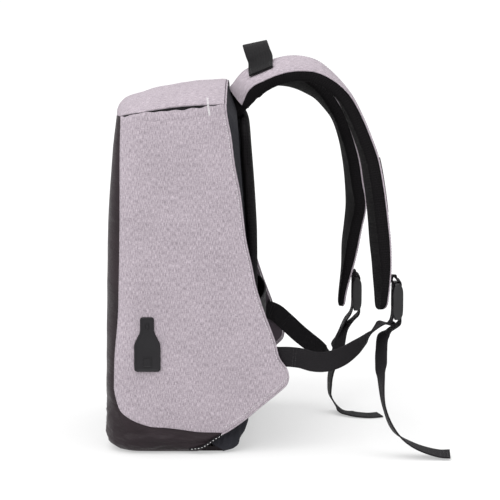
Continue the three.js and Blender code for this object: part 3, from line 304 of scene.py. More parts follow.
def flowing(points, per=PER_POINT, closed=False):
    """A dense smooth polyline through points, centripetal, with some steps per given point."""
    p = np.array(points, float)
    if closed:
        q = np.vstack([p[-1], p, p[0], p[1]])
    else:
        q = np.vstack([2 * p[0] - p[1], p, 2 * p[-1] - p[-2]])
    rows = []
    s = np.linspace(0, 1, per, endpoint=False)[:, None]
    for i in range(len(q) - 3):
        p0, p1, p2, p3 = q[i:i + 4]
        d0, d1, d2 = (max(np.linalg.norm(b - a) ** 0.5, 1e-4) for a, b in ((p0, p1), (p1, p2), (p2, p3)))
        t1 = ((p1 - p0) / d0 - (p2 - p0) / (d0 + d1) + (p2 - p1) / d1) * d1
        t2 = ((p2 - p1) / d1 - (p3 - p1) / (d1 + d2) + (p3 - p2) / d2) * d1
        rows.append(p1 + t1 * s + (-3 * p1 + 3 * p2 - 2 * t1 - t2) * s**2
                    + (2 * p1 - 2 * p2 + t1 + t2) * s**3)
    if not closed:
        rows.append(p[-1:])
    return np.vstack(rows)


def line(points):
    """A smooth line through points, read by the share of its length."""
    dense = flowing(points)
    length = np.concatenate([[0], np.cumsum(np.linalg.norm(np.diff(dense, axis=0), axis=1))])

    def at(t):
        v = np.clip(np.asarray(t, float), 0, 1) * length[-1]
        return np.stack([np.interp(v, length, dense[:, k]) for k in range(dense.shape[1])], axis=-1)

    return at


def side_line(table):
    return [[0.0, y * DEPTH, z * HEIGHT] for y, z in table]


front_y = profile(FRONT_PROFILE, HEIGHT, DEPTH)
back_y = profile(BACK_PROFILE, HEIGHT, DEPTH)
zip_y = profile(ZIP_PROFILE, HEIGHT, DEPTH)
half_width = profile(WIDTH_PROFILE, HEIGHT, HALF_WIDTH)
slit_z = profile(POCKET_SLIT, DEPTH, HEIGHT)
crown_rise = profile(CROWN_RISE, DEPTH, CROWN)
SHOULDER_Y = POCKET_SLIT[-1][0] * DEPTH
SHOULDER = float(slit_z(SHOULDER_Y))
BASE_REAR = WING_LOWER_EDGE[0][0] * DEPTH
base_seam = line(side_line(BASE_SEAM))
front_seam = line(side_line(FRONT_SEAM))
wing_lower = line(side_line(WING_LOWER_EDGE))
wing_rear = line(side_line(WING_REAR_EDGE))


def crown_share(share):
    return np.maximum(0, 1 - np.minimum(1, np.asarray(share, float) ** 2)) ** 0.75


def base_inset(z):
    drop = np.clip(BASE_CORNER - np.asarray(z, float), 0, BASE_CORNER)
    return BASE_CORNER - np.sqrt(BASE_CORNER**2 - drop**2)


def side_x(y, z):
    """Half the width of the body at a depth and a height."""
    into = np.maximum(0, front_y(z) + FRONT_CORNER - y)
    return half_width(z) - FRONT_CORNER + np.sqrt(np.maximum(0, FRONT_CORNER**2 - into**2))


def front_bow(share):
    return FRONT_BOW * np.maximum(0, 1 - np.asarray(share, float) ** 2) ** 1.2


def section_at(y, z):
    """The section value at which the body surface has a given depth."""
    rest = front_y(z) + FRONT_CORNER - y
    corner = 1 + np.arccos(np.clip(rest / FRONT_CORNER, 0, 1)) / (np.pi / 2)
    return np.where(rest <= 0, 2 - rest / DEPTH, corner)


def body_point(s, z):
    """Body surface by section: s 0..1 is the front, 1..2 the corner, past 2 the side."""
    s, z = np.broadcast_arrays(np.asarray(s, float), np.asarray(z, float))
    side = np.where(s < 0, -1.0, 1.0)
    a = np.abs(s)
    inset = base_inset(z)
    flat = half_width(z) - FRONT_CORNER
    front = front_y(z)
    turn = np.clip(a - 1, 0, 1) * np.pi / 2
    radius = FRONT_CORNER - inset
    x = np.where(a <= 1, a * flat, flat + radius * np.sin(turn))
    y = np.where(a <= 1, front + inset - front_bow(np.minimum(a, 1)),
                 front + FRONT_CORNER - radius * np.cos(turn) + np.maximum(0, a - 2) * DEPTH)
    return np.stack([side * x, y, z], axis=-1)


def inward(p, back=np.inf):
    """Direction from a surface point to the inside, the same for neighbouring panels."""
    flat = HALF_WIDTH * 0.93 - FRONT_CORNER
    core = np.stack([np.clip(p[..., 0], -flat, flat),
                     np.minimum(np.maximum(p[..., 1], front_y(p[..., 2]) + FRONT_CORNER), back),
                     np.clip(p[..., 2], 0.088 * HEIGHT, 0.846 * HEIGHT)], axis=-1)
    return unit(core - p)


def panel_thickness(p):
    return mix(WALL, WING_WALL, smoothstep(p[..., 1], 0.19 * DEPTH, 0.32 * DEPTH))


def patch(bottom, top, left, right, columns, rows):
    """A grid of side-view points between four lines (a Coons patch)."""
    u, v = np.array(columns)[:, None, None], np.array(rows)[None, :, None]
    b, t = bottom(np.array(columns))[:, None], top(np.array(columns))[:, None]
    l, r = left(np.array(rows))[None], right(np.array(rows))[None]
    b0, b1, t0, t1 = (f(np.array([e]))[0] for f, e in ((bottom, 0), (bottom, 1), (top, 0), (top, 1)))
    return (b * (1 - v) + t * v + l * (1 - u) + r * u
            - b0 * (1 - u) * (1 - v) - b1 * u * (1 - v) - t0 * (1 - u) * v - t1 * u * v)


def frames(at, across, extra, steps):
    """Frames along a smooth path: middles, vectors across, normals, tangents, extra values, shares."""
    points = np.array(at, float)
    dense = flowing(points)
    length = np.concatenate([[0], np.cumsum(np.linalg.norm(np.diff(dense, axis=0), axis=1))])
    shares = length[::PER_POINT] / length[-1]
    shares[-1] = 1.0
    middle = line(points)
    t = np.linspace(0, 1, steps + 1)
    vectors = np.array(across, float)
    side = np.stack([profile(np.stack([shares, vectors[:, k]], 1))(t) for k in range(3)], axis=-1)
    value = profile(np.stack([shares, np.array(extra, float)], 1))(t)
    reach = 0.6 / length[-1]
    tangent = unit(middle(t + reach) - middle(t - reach))
    side = unit(side - tangent * (side * tangent).sum(-1, keepdims=True))
    return {"at": middle(t), "across": side, "normal": unit(np.cross(side, tangent)),
            "tangent": tangent, "extra": value, "t": t, "along": t * length[-1]}


def beside(path, keep, across, up):
    """Points of a path's frames, moved across them and along their normals."""
    return path["at"][keep] + path["across"][keep] * across + path["normal"][keep] * up


# Meshes.
def placed_object(name, data):
    obj = bpy.data.objects.new(name, data)
    bpy.context.scene.collection.objects.link(obj)
    return obj


def join(pieces):
    """Joins pieces into the first of them."""
    with bpy.context.temp_override(active_object=pieces[0], selected_editable_objects=pieces):
        bpy.ops.object.join()


def make(name, points, faces, corner_uv, sharp=SHARP):
    """A smooth-shaded object from points in millimetres, faces, and a UV in metres for each corner."""
    mesh = bpy.data.meshes.new(name)
    mesh.from_pydata((np.asarray(points, float) * MM).tolist(), [], [list(f) for f in faces])
    layer = mesh.uv_layers.new(name="UVMap")
    layer.data.foreach_set("uv", np.asarray(corner_uv, np.float32).reshape(-1))
    made = bmesh.new()
    made.from_mesh(mesh)
    bmesh.ops.recalc_face_normals(made, faces=made.faces)
    made.to_mesh(mesh)
    made.free()
    mesh.shade_smooth()
    mesh.set_sharp_from_angle(angle=math.radians(sharp))
    return placed_object(name, mesh)


def grid_quads(shape, mask, closed):
    """Corner indices [i, j] of a grid's cells, where the mask has all four."""
    nu, nv = shape
    i, j = np.meshgrid(np.arange(nu if closed else nu - 1), np.arange(nv - 1), indexing="ij")
    i2 = (i + 1) % nu
    keep = mask[i, j] & mask[i2, j] & mask[i2, j + 1] & mask[i, j + 1]
    i, j, i2 = i[keep], j[keep], i2[keep]
    return np.stack([i * nv + j, i2 * nv + j, i2 * nv + j + 1, i * nv + j + 1], axis=-1)


def border_edges(quads):
    """Directed edges that only one quad has."""
    edges = {}
    for q in quads.tolist():
        for a, b in zip(q, q[1:] + q[:1]):
            if (b, a) in edges:
                del edges[(b, a)]
            else:
                edges[(a, b)] = True
    return list(edges)


def grid_uv(grid):
    """UV in metres by the length along the grid's own lines."""
    du = np.linalg.norm(np.diff(grid, axis=0), axis=-1)
    dv = np.linalg.norm(np.diff(grid, axis=1), axis=-1)
    u = np.vstack([np.zeros((1, grid.shape[1])), np.cumsum(du, axis=0)])
    v = np.hstack([np.zeros((grid.shape[0], 1)), np.cumsum(dv, axis=1)])
    return np.stack([u, v], axis=-1) * MM


def grid_normals(grid, inside):
    """Unit normals of a grid of points, turned away from the inside direction."""
    normal = unit(np.cross(np.gradient(grid, axis=0), np.gradient(grid, axis=1)))
    return np.where(((normal * inside).sum(-1) > 0)[..., None], -normal, normal)


def edge_distance(grid, mask=None, closed=False):
    """Distance of each grid point from the sheet's edge, in millimetres."""
    mask = np.ones(grid.shape[:2], bool) if mask is None else mask
    flat = grid.reshape(-1, 3)
    rim = sorted({a for edge in border_edges(grid_quads(grid.shape[:2], mask, closed)) for a in edge})
    tree = KDTree(len(rim))
    for k, a in enumerate(rim):
        tree.insert(flat[a], k)
    tree.balance()
    return np.array([tree.find(p)[2] for p in flat]).reshape(grid.shape[:2])


def ripple(grid, size, seed, stretch=(1, 1, 1)):
    """Soft noise of about -1 to 1 over points; size is the width of a fold in millimetres."""
    scaled = grid.reshape(-1, 3) / (size * np.array(stretch, float)) + seed * 17.3
    return np.array([noise.fractal(Vector(p), 1.0, 2.0, OCTAVES) for p in scaled]).reshape(grid.shape[:2])


def sheet(name, outer, inner, uv=None, mask=None, closed=False):
    """A sheet with thickness between an outer and an inner grid of points."""
    nu, nv = outer.shape[:2]
    mask = np.ones((nu, nv), bool) if mask is None else mask
    uv = grid_uv(outer) if uv is None else uv
    quads = grid_quads((nu, nv), mask, closed)
    count = nu * nv
    flat_uv = uv.reshape(-1, 2)
    faces, corners = [quads, quads[:, ::-1] + count], [flat_uv[quads], flat_uv[quads[:, ::-1]]]
    rim = np.array(border_edges(quads))
    faces.append(np.stack([rim[:, 1], rim[:, 0], rim[:, 0] + count, rim[:, 1] + count], axis=-1))
    a, b = flat_uv[rim[:, 0]], flat_uv[rim[:, 1]]
    away = np.array([0.0, 0.003])
    corners.append(np.stack([b, a, a + away, b + away], axis=1))
    faces, corners = np.vstack(faces), np.vstack(corners)
    points = np.vstack([outer.reshape(-1, 3), inner.reshape(-1, 3)])
    used = np.unique(faces)
    renumber = np.zeros(len(points), int)
    renumber[used] = np.arange(len(used))
    return make(name, points[used], renumber[faces], corners)


def tube(name, rings, u, v, sharp=SHARP):
    """A closed tube of rings. u is the UV round each ring (one more than its points), v along it."""
    n, k = rings.shape[:2]
    i, j = np.meshgrid(np.arange(n - 1), np.arange(k), indexing="ij")
    i, j = i.ravel(), j.ravel()
    i2, j2 = i + 1, (j + 1) % k
    faces = np.stack([i * k + j, i * k + j2, i2 * k + j2, i2 * k + j], axis=-1).tolist()
    u = np.broadcast_to(u, (n, k + 1))
    corners = [np.stack([u[i, j], v[i]], -1), np.stack([u[i, j + 1], v[i]], -1),
               np.stack([u[i2, j + 1], v[i + 1]], -1), np.stack([u[i2, j], v[i + 1]], -1)]
    corners = np.stack(corners, axis=1).reshape(-1, 2)
    faces += [list(range(k)), list(range((n - 1) * k, n * k))]
    ends = [np.stack([u[r, :k], np.full(k, v[r])], -1) for r in (0, n - 1)]
    corners = np.vstack([corners, *ends])
    return make(name, rings.reshape(-1, 3), faces, corners * MM, sharp)


def sweep(name, path, section):
    """A section [across, along the normal], one or one for each frame, swept along frames."""
    section = np.asarray(section, float)
    if section.ndim == 2:
        section = np.broadcast_to(section, (len(path["at"]), *section.shape))
    rings = (path["at"][:, None] + path["across"][:, None] * section[..., :1]
             + path["normal"][:, None] * section[..., 1:])
    around = np.linalg.norm(np.diff(np.concatenate([section, section[:, :1]], 1), axis=1), axis=-1)
    u = np.concatenate([np.zeros((len(section), 1)), np.cumsum(around, axis=1)], axis=1)
    return tube(name, rings, u, np.append(path["along"], path["along"][-1]))


def rounded(width, thick, radius, across, turn=3):
    """A flat section with rounded edges, counted from one lower edge."""
    w, t, r = width / 2, thick / 2, min(radius, thick / 2 - 1e-3)

    def corner(cx, cy, start):
        angles = [math.radians(start + 90 * k / turn) for k in range(1, turn + 1)]
        return [[cx + r * math.cos(a), cy + r * math.sin(a)] for a in angles]

    low = [[x, -t] for x in np.linspace(-w + r, w - r, across)]
    high = [[x, t] for x in np.linspace(w - r, -w + r, across)[1:]]
    return np.array(low + corner(w - r, -t + r, -90) + corner(w - r, t - r, 0) + high
                    + corner(-w + r, t - r, 90) + corner(-w + r, -t + r, 180)[:-1])


def dress(obj, finish, slot, *nodes):
    """Gives a piece its material, seats it on the frame and lets it stand for solids."""
    obj.data.materials.clear()
    obj.data.materials.append(finish)
    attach(obj, "root")
    if nodes:
        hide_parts(*nodes)


def copy_of_node(node, name):
    """A merged copy of a solid, to be finished as a piece of its own."""
    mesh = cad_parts[node].data.copy()
    mesh.materials.clear()
    made = bmesh.new()
    made.from_mesh(mesh)
    bmesh.ops.remove_doubles(made, verts=made.verts, dist=1e-5)
    bmesh.ops.dissolve_limit(made, angle_limit=math.radians(1), verts=made.verts, edges=made.edges)
    made.to_mesh(mesh)
    made.free()
    return placed_object(name, mesh)


def settle(obj):
    """Turns an object's modifiers into its plain mesh and removes them."""
    bpy.context.view_layer.update()
    graph = bpy.context.evaluated_depsgraph_get()
    mesh = bpy.data.meshes.new_from_object(obj.evaluated_get(graph))
    obj.modifiers.clear()
    obj.data = mesh


# Materials. Patterns read the piece's UV map in metres, or object coordinates on remeshed pads.
class Finish:
    """A node material under construction."""

    def __init__(self, name):
        self.material = bpy.data.materials.new(name)
        self.material.use_nodes = True
        self.tree = self.material.node_tree
        self.shader = self.tree.nodes["Principled BSDF"]
        self.coordinates = self.tree.nodes.new("ShaderNodeTexCoord")

    def node(self, kind, **settings):
        made = self.tree.nodes.new(kind)
        for key, value in settings.items():
            setattr(made, key, value)
        return made

    def link(self, source, target):
        self.tree.links.new(source, target)

    def set(self, **values):
        for key, value in values.items():
            self.shader.inputs[key.replace("_", " ")].default_value = value

    def mapped(self, scale, source="UV"):
        made = self.node("ShaderNodeMapping")
        made.inputs["Scale"].default_value = scale
        self.link(self.coordinates.outputs[source], made.inputs["Vector"])
        return made.outputs["Vector"]

    def noise(self, vector, detail, rough):
        made = self.node("ShaderNodeTexNoise")
        made.inputs["Scale"].default_value = 1.0
        made.inputs["Detail"].default_value = detail
        made.inputs["Roughness"].default_value = rough
        self.link(vector, made.inputs["Vector"])
        return made.outputs["Fac"]

    def math(self, operation, a, b=None):
        made = self.node("ShaderNodeMath", operation=operation)
        for slot, value in ((0, a), (1, b)):
            if value is None:
                continue
            if isinstance(value, (int, float)):
                made.inputs[slot].default_value = value
            else:
                self.link(value, made.inputs[slot])
        return made.outputs["Value"]

    def add(self, a, b):
        return self.math("ADD", a, b)

    def times(self, a, b):
        return self.math("MULTIPLY", a, b)

    def wave(self, vector, axis):
        """A sine from -1 to 1 along one axis of a vector scaled in whole waves."""
        split = self.node("ShaderNodeSeparateXYZ")
        self.link(vector, split.inputs["Vector"])
        return self.math("SINE", self.times(split.outputs[axis], 2 * math.pi))

    def spread(self, value, low, high, from_low=0.3, from_high=0.7):
        made = self.node("ShaderNodeMapRange", clamp=True)
        for key, number in (("From Min", from_low), ("From Max", from_high),
                            ("To Min", low), ("To Max", high)):
            made.inputs[key].default_value = number
        self.link(value, made.inputs["Value"])
        return made.outputs["Result"]

    def colours(self, factor, colour, spread):
        """Mixes a darker and a lighter version of a colour."""
        made = self.node("ShaderNodeMix", data_type="RGBA")
        made.inputs["A"].default_value = (*(max(0.0, c * (1 - spread)) for c in colour), 1)
        made.inputs["B"].default_value = (*(min(1.0, c * (1 + spread)) for c in colour), 1)
        self.link(factor, made.inputs["Factor"])
        self.link(made.outputs["Result"], self.shader.inputs["Base Color"])

    def bump(self, height, distance, strength, under=None):
        made = self.node("ShaderNodeBump")
        made.inputs["Distance"].default_value = distance
        made.inputs["Strength"].default_value = strength
        self.link(height, made.inputs["Height"])
        if under is not None:
            self.link(under, made.inputs["Normal"])
        self.link(made.outputs["Normal"], self.shader.inputs["Normal"])
        return made.outputs["Normal"]


def woven(name, colour, spread, thread, rough, sheen):
    """Woven cloth whose threads differ a little, thick and thin, along both directions."""
    f = Finish(name)
    fine = 1 / thread
    run = fine / 16
    warp = f.noise(f.mapped((fine, run, run)), 1.5, 0.6)
    weft = f.noise(f.mapped((run, fine, fine)), 1.5, 0.6)
    cloud = f.noise(f.mapped((22, 22, 22)), 2.0, 0.5)
    tone = f.add(f.times(f.add(warp, weft), 0.42), f.times(cloud, 0.16))
    f.colours(f.spread(tone, 0, 1, 0.36, 0.64), colour, spread)
    weave = f.mapped((fine / 2, fine / 2, fine / 2))
    height = f.add(f.times(f.wave(weave, "X"), f.wave(weave, "Y")), f.times(tone, 1.6))
    f.bump(height, 0.00016, 0.7)
    f.link(f.spread(tone, rough - 0.06, min(1.0, rough + 0.04)), f.shader.inputs["Roughness"])
    f.set(Sheen_Weight=sheen, Sheen_Roughness=0.5, Specular_IOR_Level=0.2)
    return f.material


def heather(name, colour, spread, thread):
    """Heather cloth: pale and dark yarns in short upright streaks over a fine plain weave."""
    f = Finish(name)
    upright = f.noise(f.mapped((1 / (1.4 * thread), 1 / (10 * thread), 1)), 2.0, 0.65)
    level = f.noise(f.mapped((1 / (7 * thread), 1 / (1.6 * thread), 1)), 1.5, 0.6)
    specks = f.noise(f.mapped((1 / (1.5 * thread), 1 / (1.8 * thread), 1)), 1.0, 0.5)
    cloud = f.noise(f.mapped((16, 16, 16)), 2.0, 0.5)
    yarns = f.add(f.times(upright, 0.60), f.times(level, 0.20))
    tone = f.add(yarns, f.add(f.times(specks, 0.13), f.times(cloud, 0.07)))
    f.colours(f.spread(tone, 0, 1, 0.405, 0.62), colour, spread)
    weave = f.mapped((0.5 / thread, 0.5 / thread, 1))
    threads = f.times(f.wave(weave, "X"), f.wave(weave, "Y"))
    f.bump(f.add(threads, f.times(tone, 3.0)), 0.00018, 0.8)
    f.link(f.spread(tone, 0.84, 0.94), f.shader.inputs["Roughness"])
    f.set(Sheen_Weight=0.06, Sheen_Roughness=0.5, Specular_IOR_Level=0.15)
    return f.material


def coated(name, colour):
    """Dark coated cloth: a fine pebbled grain, with creases and rubbed places that shine a little."""
    f = Finish(name)
    grain = f.node("ShaderNodeTexVoronoi")
    grain.inputs["Scale"].default_value = 900
    f.link(f.mapped((1, 1, 1)), grain.inputs["Vector"])
    cloud = f.noise(f.mapped((14, 14, 14)), 3.0, 0.6)
    creases = f.noise(f.mapped((30, 75, 30)), 5.0, 0.62)
    fine = f.noise(f.mapped((420, 420, 420)), 2.0, 0.5)
    f.colours(f.spread(cloud, 0, 1), colour, 0.22)
    soft = f.bump(fine, 0.00012, 0.5)
    folded = f.bump(creases, 0.0030, 0.8, soft)
    f.bump(grain.outputs["Distance"], 0.00022, 0.55, folded)
    f.link(f.spread(cloud, 0.36, 0.50), f.shader.inputs["Roughness"])
    f.set(Sheen_Weight=0.03, Sheen_Roughness=0.35, Sheen_Tint=(1.0, 0.86, 0.92, 1), Specular_IOR_Level=0.2)
    return f.material


def air_mesh(name, colour, source="UV", pitch=0.0021):
    """Black spacer mesh: rows of small open cells, with painted shade in them."""
    f = Finish(name)
    cells = f.node("ShaderNodeTexVoronoi", feature="SMOOTH_F1")
    cells.inputs["Scale"].default_value = 1.0
    cells.inputs["Randomness"].default_value = 0.12
    k = 1 / pitch
    cell = (k, k * 0.7, k * 0.7) if source == "UV" else (k, k, k * 0.7)
    f.link(f.mapped(cell, source), cells.inputs["Vector"])
    hole = f.spread(cells.outputs["Distance"], 0, 1, 0.22, 0.42)
    # The darker colour in the open cells is painted shade in the holes.
    f.colours(hole, colour, 0.45)
    cloud = f.noise(f.mapped((30, 30, 30), source), 2.0, 0.5)
    f.bump(hole, 0.0005, 0.8)
    f.link(f.spread(cloud, 0.82, 0.95), f.shader.inputs["Roughness"])
    f.set(Sheen_Weight=0.0, Specular_IOR_Level=0.1)
    return f.material


def ribbed(name, colour, rib=0.0013, rows=0.0021):
    """Woven strap: short ribs across the strap in rows along it."""
    f = Finish(name)
    place = f.mapped((1 / rows, 1 / rib, 1))
    split = f.node("ShaderNodeSeparateXYZ")
    f.link(place, split.inputs["Vector"])
    off_centre = f.math("SUBTRACT", f.math("FRACT", split.outputs["X"]), 0.5)
    step = f.times(f.math("ABSOLUTE", off_centre), 1.2)
    ribs = f.math("SINE", f.times(f.add(split.outputs["Y"], step), 2 * math.pi))
    lanes = f.math("COSINE", f.times(split.outputs["X"], 2 * math.pi))
    height = f.add(ribs, f.times(lanes, 0.5))
    fuzz = f.noise(f.mapped((700, 180, 700)), 2.0, 0.6)
    # The colour is lighter on the ribs and darker between them: painted shade in the grooves, mixed with
    # random fuzz in the yarn.
    f.colours(f.spread(f.add(f.times(height, 0.2), fuzz), 0, 1, 0.2, 0.9), colour, 0.35)
    f.bump(height, 0.00022, 0.8)
    f.link(f.spread(fuzz, 0.54, 0.72), f.shader.inputs["Roughness"])
    f.set(Sheen_Weight=0.01, Specular_IOR_Level=0.14)
    return f.material


def moulded(name, colour, rough, shine=0.4):
    """Moulded plastic or rubber with a fine spark-eroded grain."""
    f = Finish(name)
    fine = f.noise(f.mapped((900, 900, 900), "Object"), 3.0, 0.6)
    cloud = f.noise(f.mapped((60, 60, 60), "Object"), 2.0, 0.5)
    f.colours(f.spread(cloud, 0, 1), colour, 0.12)
    f.bump(fine, 0.00004, 0.6)
    f.link(f.spread(cloud, rough - 0.04, rough + 0.06), f.shader.inputs["Roughness"])
    f.set(Specular_IOR_Level=shine)
    return f.material


def thread(name, colour):
    """Twisted sewing thread."""
    f = Finish(name)
    twist = f.noise(f.mapped((900, 900, 900), "Object"), 2.0, 0.5)
    f.colours(f.spread(twist, 0, 1), colour, 0.2)
    f.bump(twist, 0.00006, 0.6)
    f.link(f.spread(twist, 0.6, 0.8), f.shader.inputs["Roughness"])
    f.set(Sheen_Weight=0.3)
    return f.material


# Stitches and zip teeth are laid along lines by a node tree.
def row_tree(name, tooth):
    """A tree that lays a small shape at even steps along lines and gives it a material."""
    tree = bpy.data.node_groups.new(name, "GeometryNodeTree")
    face = tree.interface
    face.new_socket("Geometry", in_out="INPUT", socket_type="NodeSocketGeometry")
    sockets = {key: face.new_socket(key, in_out="INPUT", socket_type="NodeSocketFloat")
               for key in ("Step", "Length", "Width", "Height")}
    sockets["Material"] = face.new_socket("Material", in_out="INPUT", socket_type="NodeSocketMaterial")
    face.new_socket("Geometry", in_out="OUTPUT", socket_type="NodeSocketGeometry")
    new, link = tree.nodes.new, tree.links.new
    given, out = new("NodeGroupInput"), new("NodeGroupOutput")
    curve, steps = new("GeometryNodeMeshToCurve"), new("GeometryNodeResampleCurve")
    steps.mode = "LENGTH"
    link(given.outputs["Geometry"], curve.inputs["Mesh"])
    link(curve.outputs["Curve"], steps.inputs["Curve"])
    link(given.outputs["Step"], steps.inputs["Length"])
    size = new("ShaderNodeCombineXYZ")
    if tooth:
        shape = new("GeometryNodeMeshCube")
        link(size.outputs["Vector"], shape.inputs["Size"])
        scale = None
    else:
        shape = new("GeometryNodeMeshIcoSphere")
        shape.inputs["Subdivisions"].default_value = 1
        shape.inputs["Radius"].default_value = 0.5
        scale = size.outputs["Vector"]
    for key, axis in (("Width", "X"), ("Height", "Y"), ("Length", "Z")):
        link(given.outputs[key], size.inputs[axis])
    tangent, turn = new("GeometryNodeInputTangent"), new("FunctionNodeAlignRotationToVector")
    turn.axis = "Z"
    link(tangent.outputs["Tangent"], turn.inputs["Vector"])
    lay, real = new("GeometryNodeInstanceOnPoints"), new("GeometryNodeRealizeInstances")
    paint = new("GeometryNodeSetMaterial")
    link(steps.outputs["Curve"], lay.inputs["Points"])
    link(shape.outputs["Mesh"], lay.inputs["Instance"])
    link(turn.outputs["Rotation"], lay.inputs["Rotation"])
    if scale is not None:
        link(scale, lay.inputs["Scale"])
    link(lay.outputs["Instances"], real.inputs["Geometry"])
    link(real.outputs["Geometry"], paint.inputs["Geometry"])
    link(given.outputs["Material"], paint.inputs["Material"])
    link(paint.outputs["Geometry"], out.inputs["Geometry"])
    return tree, {key: socket.identifier for key, socket in sockets.items()}


def row(name, paths, step, length, width, height, finish, tooth=False):
    """Stitches, or zip teeth, along paths of points in millimetres."""
    points, edges = [], []
    for path in paths:
        start = len(points)
        points += (np.asarray(path) * MM).tolist()
        edges += [(k, k + 1) for k in range(start, len(points) - 1)]
    mesh = bpy.data.meshes.new(name)
    mesh.from_pydata(points, edges, [])
    obj = placed_object(name, mesh)
    tree, keys = row_tree(name + " row", tooth)
    laid = obj.modifiers.new("Row", "NODES")
    laid.node_group = tree
    for key, value in (("Step", step * MM), ("Length", length * MM), ("Width", width * MM),
                       ("Height", height * MM), ("Material", finish)):
        laid[keys[key]] = value
    settle(obj)
    if not tooth:
        obj.data.shade_smooth()
    return obj


STITCHES = {  # step, length, width and height of each kind, in millimetres
    "luggage": (3.2, 2.3, 0.5, 0.4),
    "base": (4.2, 2.1, 0.9, 0.7),
    "strap": (3.4, 2.5, 0.5, 0.4),
    "webbing": (2.2, 1.7, 0.5, 0.4),
    "handle": (2.4, 1.8, 0.55, 0.4),
    "edge": (3.6, 2.7, 0.5, 0.4),
    "flap": (3.4, 2.3, 0.55, 0.4),
    "bartack": (1.3, 1.5, 0.9, 0.6),
}
ZIP_TOOTH = (1.5, 0.8, 1.3, 2.2)


def stitches(name, kind, lines, thread, slot):
    """One kind of stitches along lines, in a thread. The slot of the cloth that they hold is not used."""
    made = finish(thread)
    dress(row(name, lines, *STITCHES[kind], made), made, slot)


SURFACES = {}  # the outer grid of each panel after its folds, with its normals
FINISHES = {}


def finish(name):
    """A material by name, made once from the colours in the sidebar."""
    if name not in FINISHES:
        c = bpy.context.scene.backpack_colours
        s = bpy.context.scene.backpack_sizes
        makers = {
            "grey_cloth": lambda: heather("Grey heather cloth", c.grey, s.heather, s.thread),
            "dark_coated": lambda: coated("Dark coated cloth", c.coated),
            "slate_cloth": lambda: woven("Slate cloth", c.slate, 0.2, s.thread, 0.82, 0.02),
            "band_cloth": lambda: woven("Luggage band cloth", c.band, 0.2, s.thread, 0.82, 0.02),
            "lining_cloth": lambda: woven("Flap lining cloth", c.lining, 0.2, s.thread, 0.85, 0.02),
            "black_mesh": lambda: air_mesh("Black air mesh", c.black_mesh),
            "back_mesh": lambda: air_mesh("Black air mesh on the back", c.black_mesh, "Object", 0.0026),
            "black_webbing": lambda: ribbed("Black webbing", c.webbing),
            "handle_webbing": lambda: ribbed("Handle webbing", c.handle, 0.0016, 0.0032),
            "black_plastic": lambda: moulded("Black acetal", c.plastic, 0.38),
            "black_rubber": lambda: moulded("Black rubber", c.rubber, 0.5, 0.22),
            "grey_thread": lambda: thread("Grey thread", c.grey_thread),
            "white_thread": lambda: thread("White thread", c.white_thread),
            "black_thread": lambda: thread("Black thread", c.webbing),
            "zip_teeth": lambda: moulded("Zip coil", c.plastic, 0.35),
        }
        FINISHES[name] = makers[name]()
    return FINISHES[name]


def panel(name, grid, direction, thickness, relief, mask=None, closed=False, uv=None):
    """A sewn panel: the grid is moved along its normals by the relief and given its thickness."""
    normal = grid_normals(grid, direction)
    if closed:
        around = lambda a: np.concatenate([a[-2:], a, a[:2]], axis=0)
        normal = grid_normals(around(grid), around(direction))[2:-2]
    moved = grid + normal * relief[..., None]
    moved[..., 2] = np.maximum(moved[..., 2], 0)
    depth = thickness if np.isscalar(thickness) else thickness[..., None]
    obj = sheet(name, moved, moved + direction * depth, uv=uv, mask=mask, closed=closed)
    SURFACES[name] = (moved, normal)
    return obj


def sewn(distance, dip, width):
    """A panel's surface sinks towards its seams by dip."""
    return -dip * np.exp(-(distance / width) ** 2)


# Body panels.
def front_cloth():
    sizes = bpy.context.scene.backpack_sizes
    centre = np.linspace(0, 1, 34)
    low_rows = np.linspace(0, 1, 30)
    high = np.linspace(0, 1, 110)[1:]
    foot, seam_top = front_seam(0), float(front_seam(1)[2])
    low_s = float(section_at(foot[1], foot[2]))

    def top_at(s):
        y = np.where(s <= 1, front_y(seam_top), body_point(s, seam_top)[..., 1])
        return slit_z(y) + crown_rise(y) * crown_share(s) - SEAM_GAP

    def centre_column(side, share):
        low = body_point(side * low_s * share, low_rows * foot[2])
        seam = front_seam(high)
        s = section_at(seam[:, 1], seam[:, 2]) * share
        rise = (seam[:, 2] - foot[2]) / (seam_top - foot[2])
        z = mix(foot[2], top_at(s), rise)
        return np.vstack([low, body_point(side * np.maximum(s, 1e-6), z)])

    def wrap_column(side, t):
        top = base_seam(t)
        foot_y = mix(float(body_point(low_s, 0)[1]), 0.09 * DEPTH, t)
        y = mix(foot_y, top[1], low_rows**0.8)
        z = low_rows * top[2]
        p = body_point(side * np.maximum(section_at(y, z), low_s), z)
        p[-1, 1] = top[1]
        return np.vstack([p, np.repeat(p[-1:], len(high), axis=0)])

    wrap = np.linspace(0, 1, 64)[1:] ** 1.15
    columns = ([wrap_column(-1, t) for t in wrap[::-1]] + [centre_column(-1, c) for c in centre[:0:-1]]
               + [centre_column(1, c) for c in centre] + [wrap_column(1, t) for t in wrap])
    grid = np.array(columns)
    mask = np.ones(grid.shape[:2], bool)
    mask[:len(wrap), len(low_rows):] = False
    mask[-len(wrap):, len(low_rows):] = False
    away = edge_distance(grid, mask)
    low = 1 - smoothstep(grid[..., 2], 30, 110)
    folds = ripple(grid, 40, 3, (1.5, 1.2, 0.6)) * sizes.fold * (0.25 + 2.3 * low)
    crinkles = (0.35 - np.abs(ripple(grid, 17, 31, (1.4, 1.6, 0.6)))) * sizes.fold * 1.9 * low
    hem = 0.9 * np.exp(-((grid[..., 2] - HEM) / 1.7) ** 2)
    relief = ((folds + crinkles) * smoothstep(away, 2, 14) - hem + sewn(away, 0.9, 3.5)
              + 0.5 * smoothstep(away, 3, 25)) * smoothstep(grid[..., 2], 0, 12)
    obj = panel("front_cloth", grid, inward(grid), WALL, relief, mask)
    dress(obj, finish("dark_coated"), "dark_coated", "front_panel")


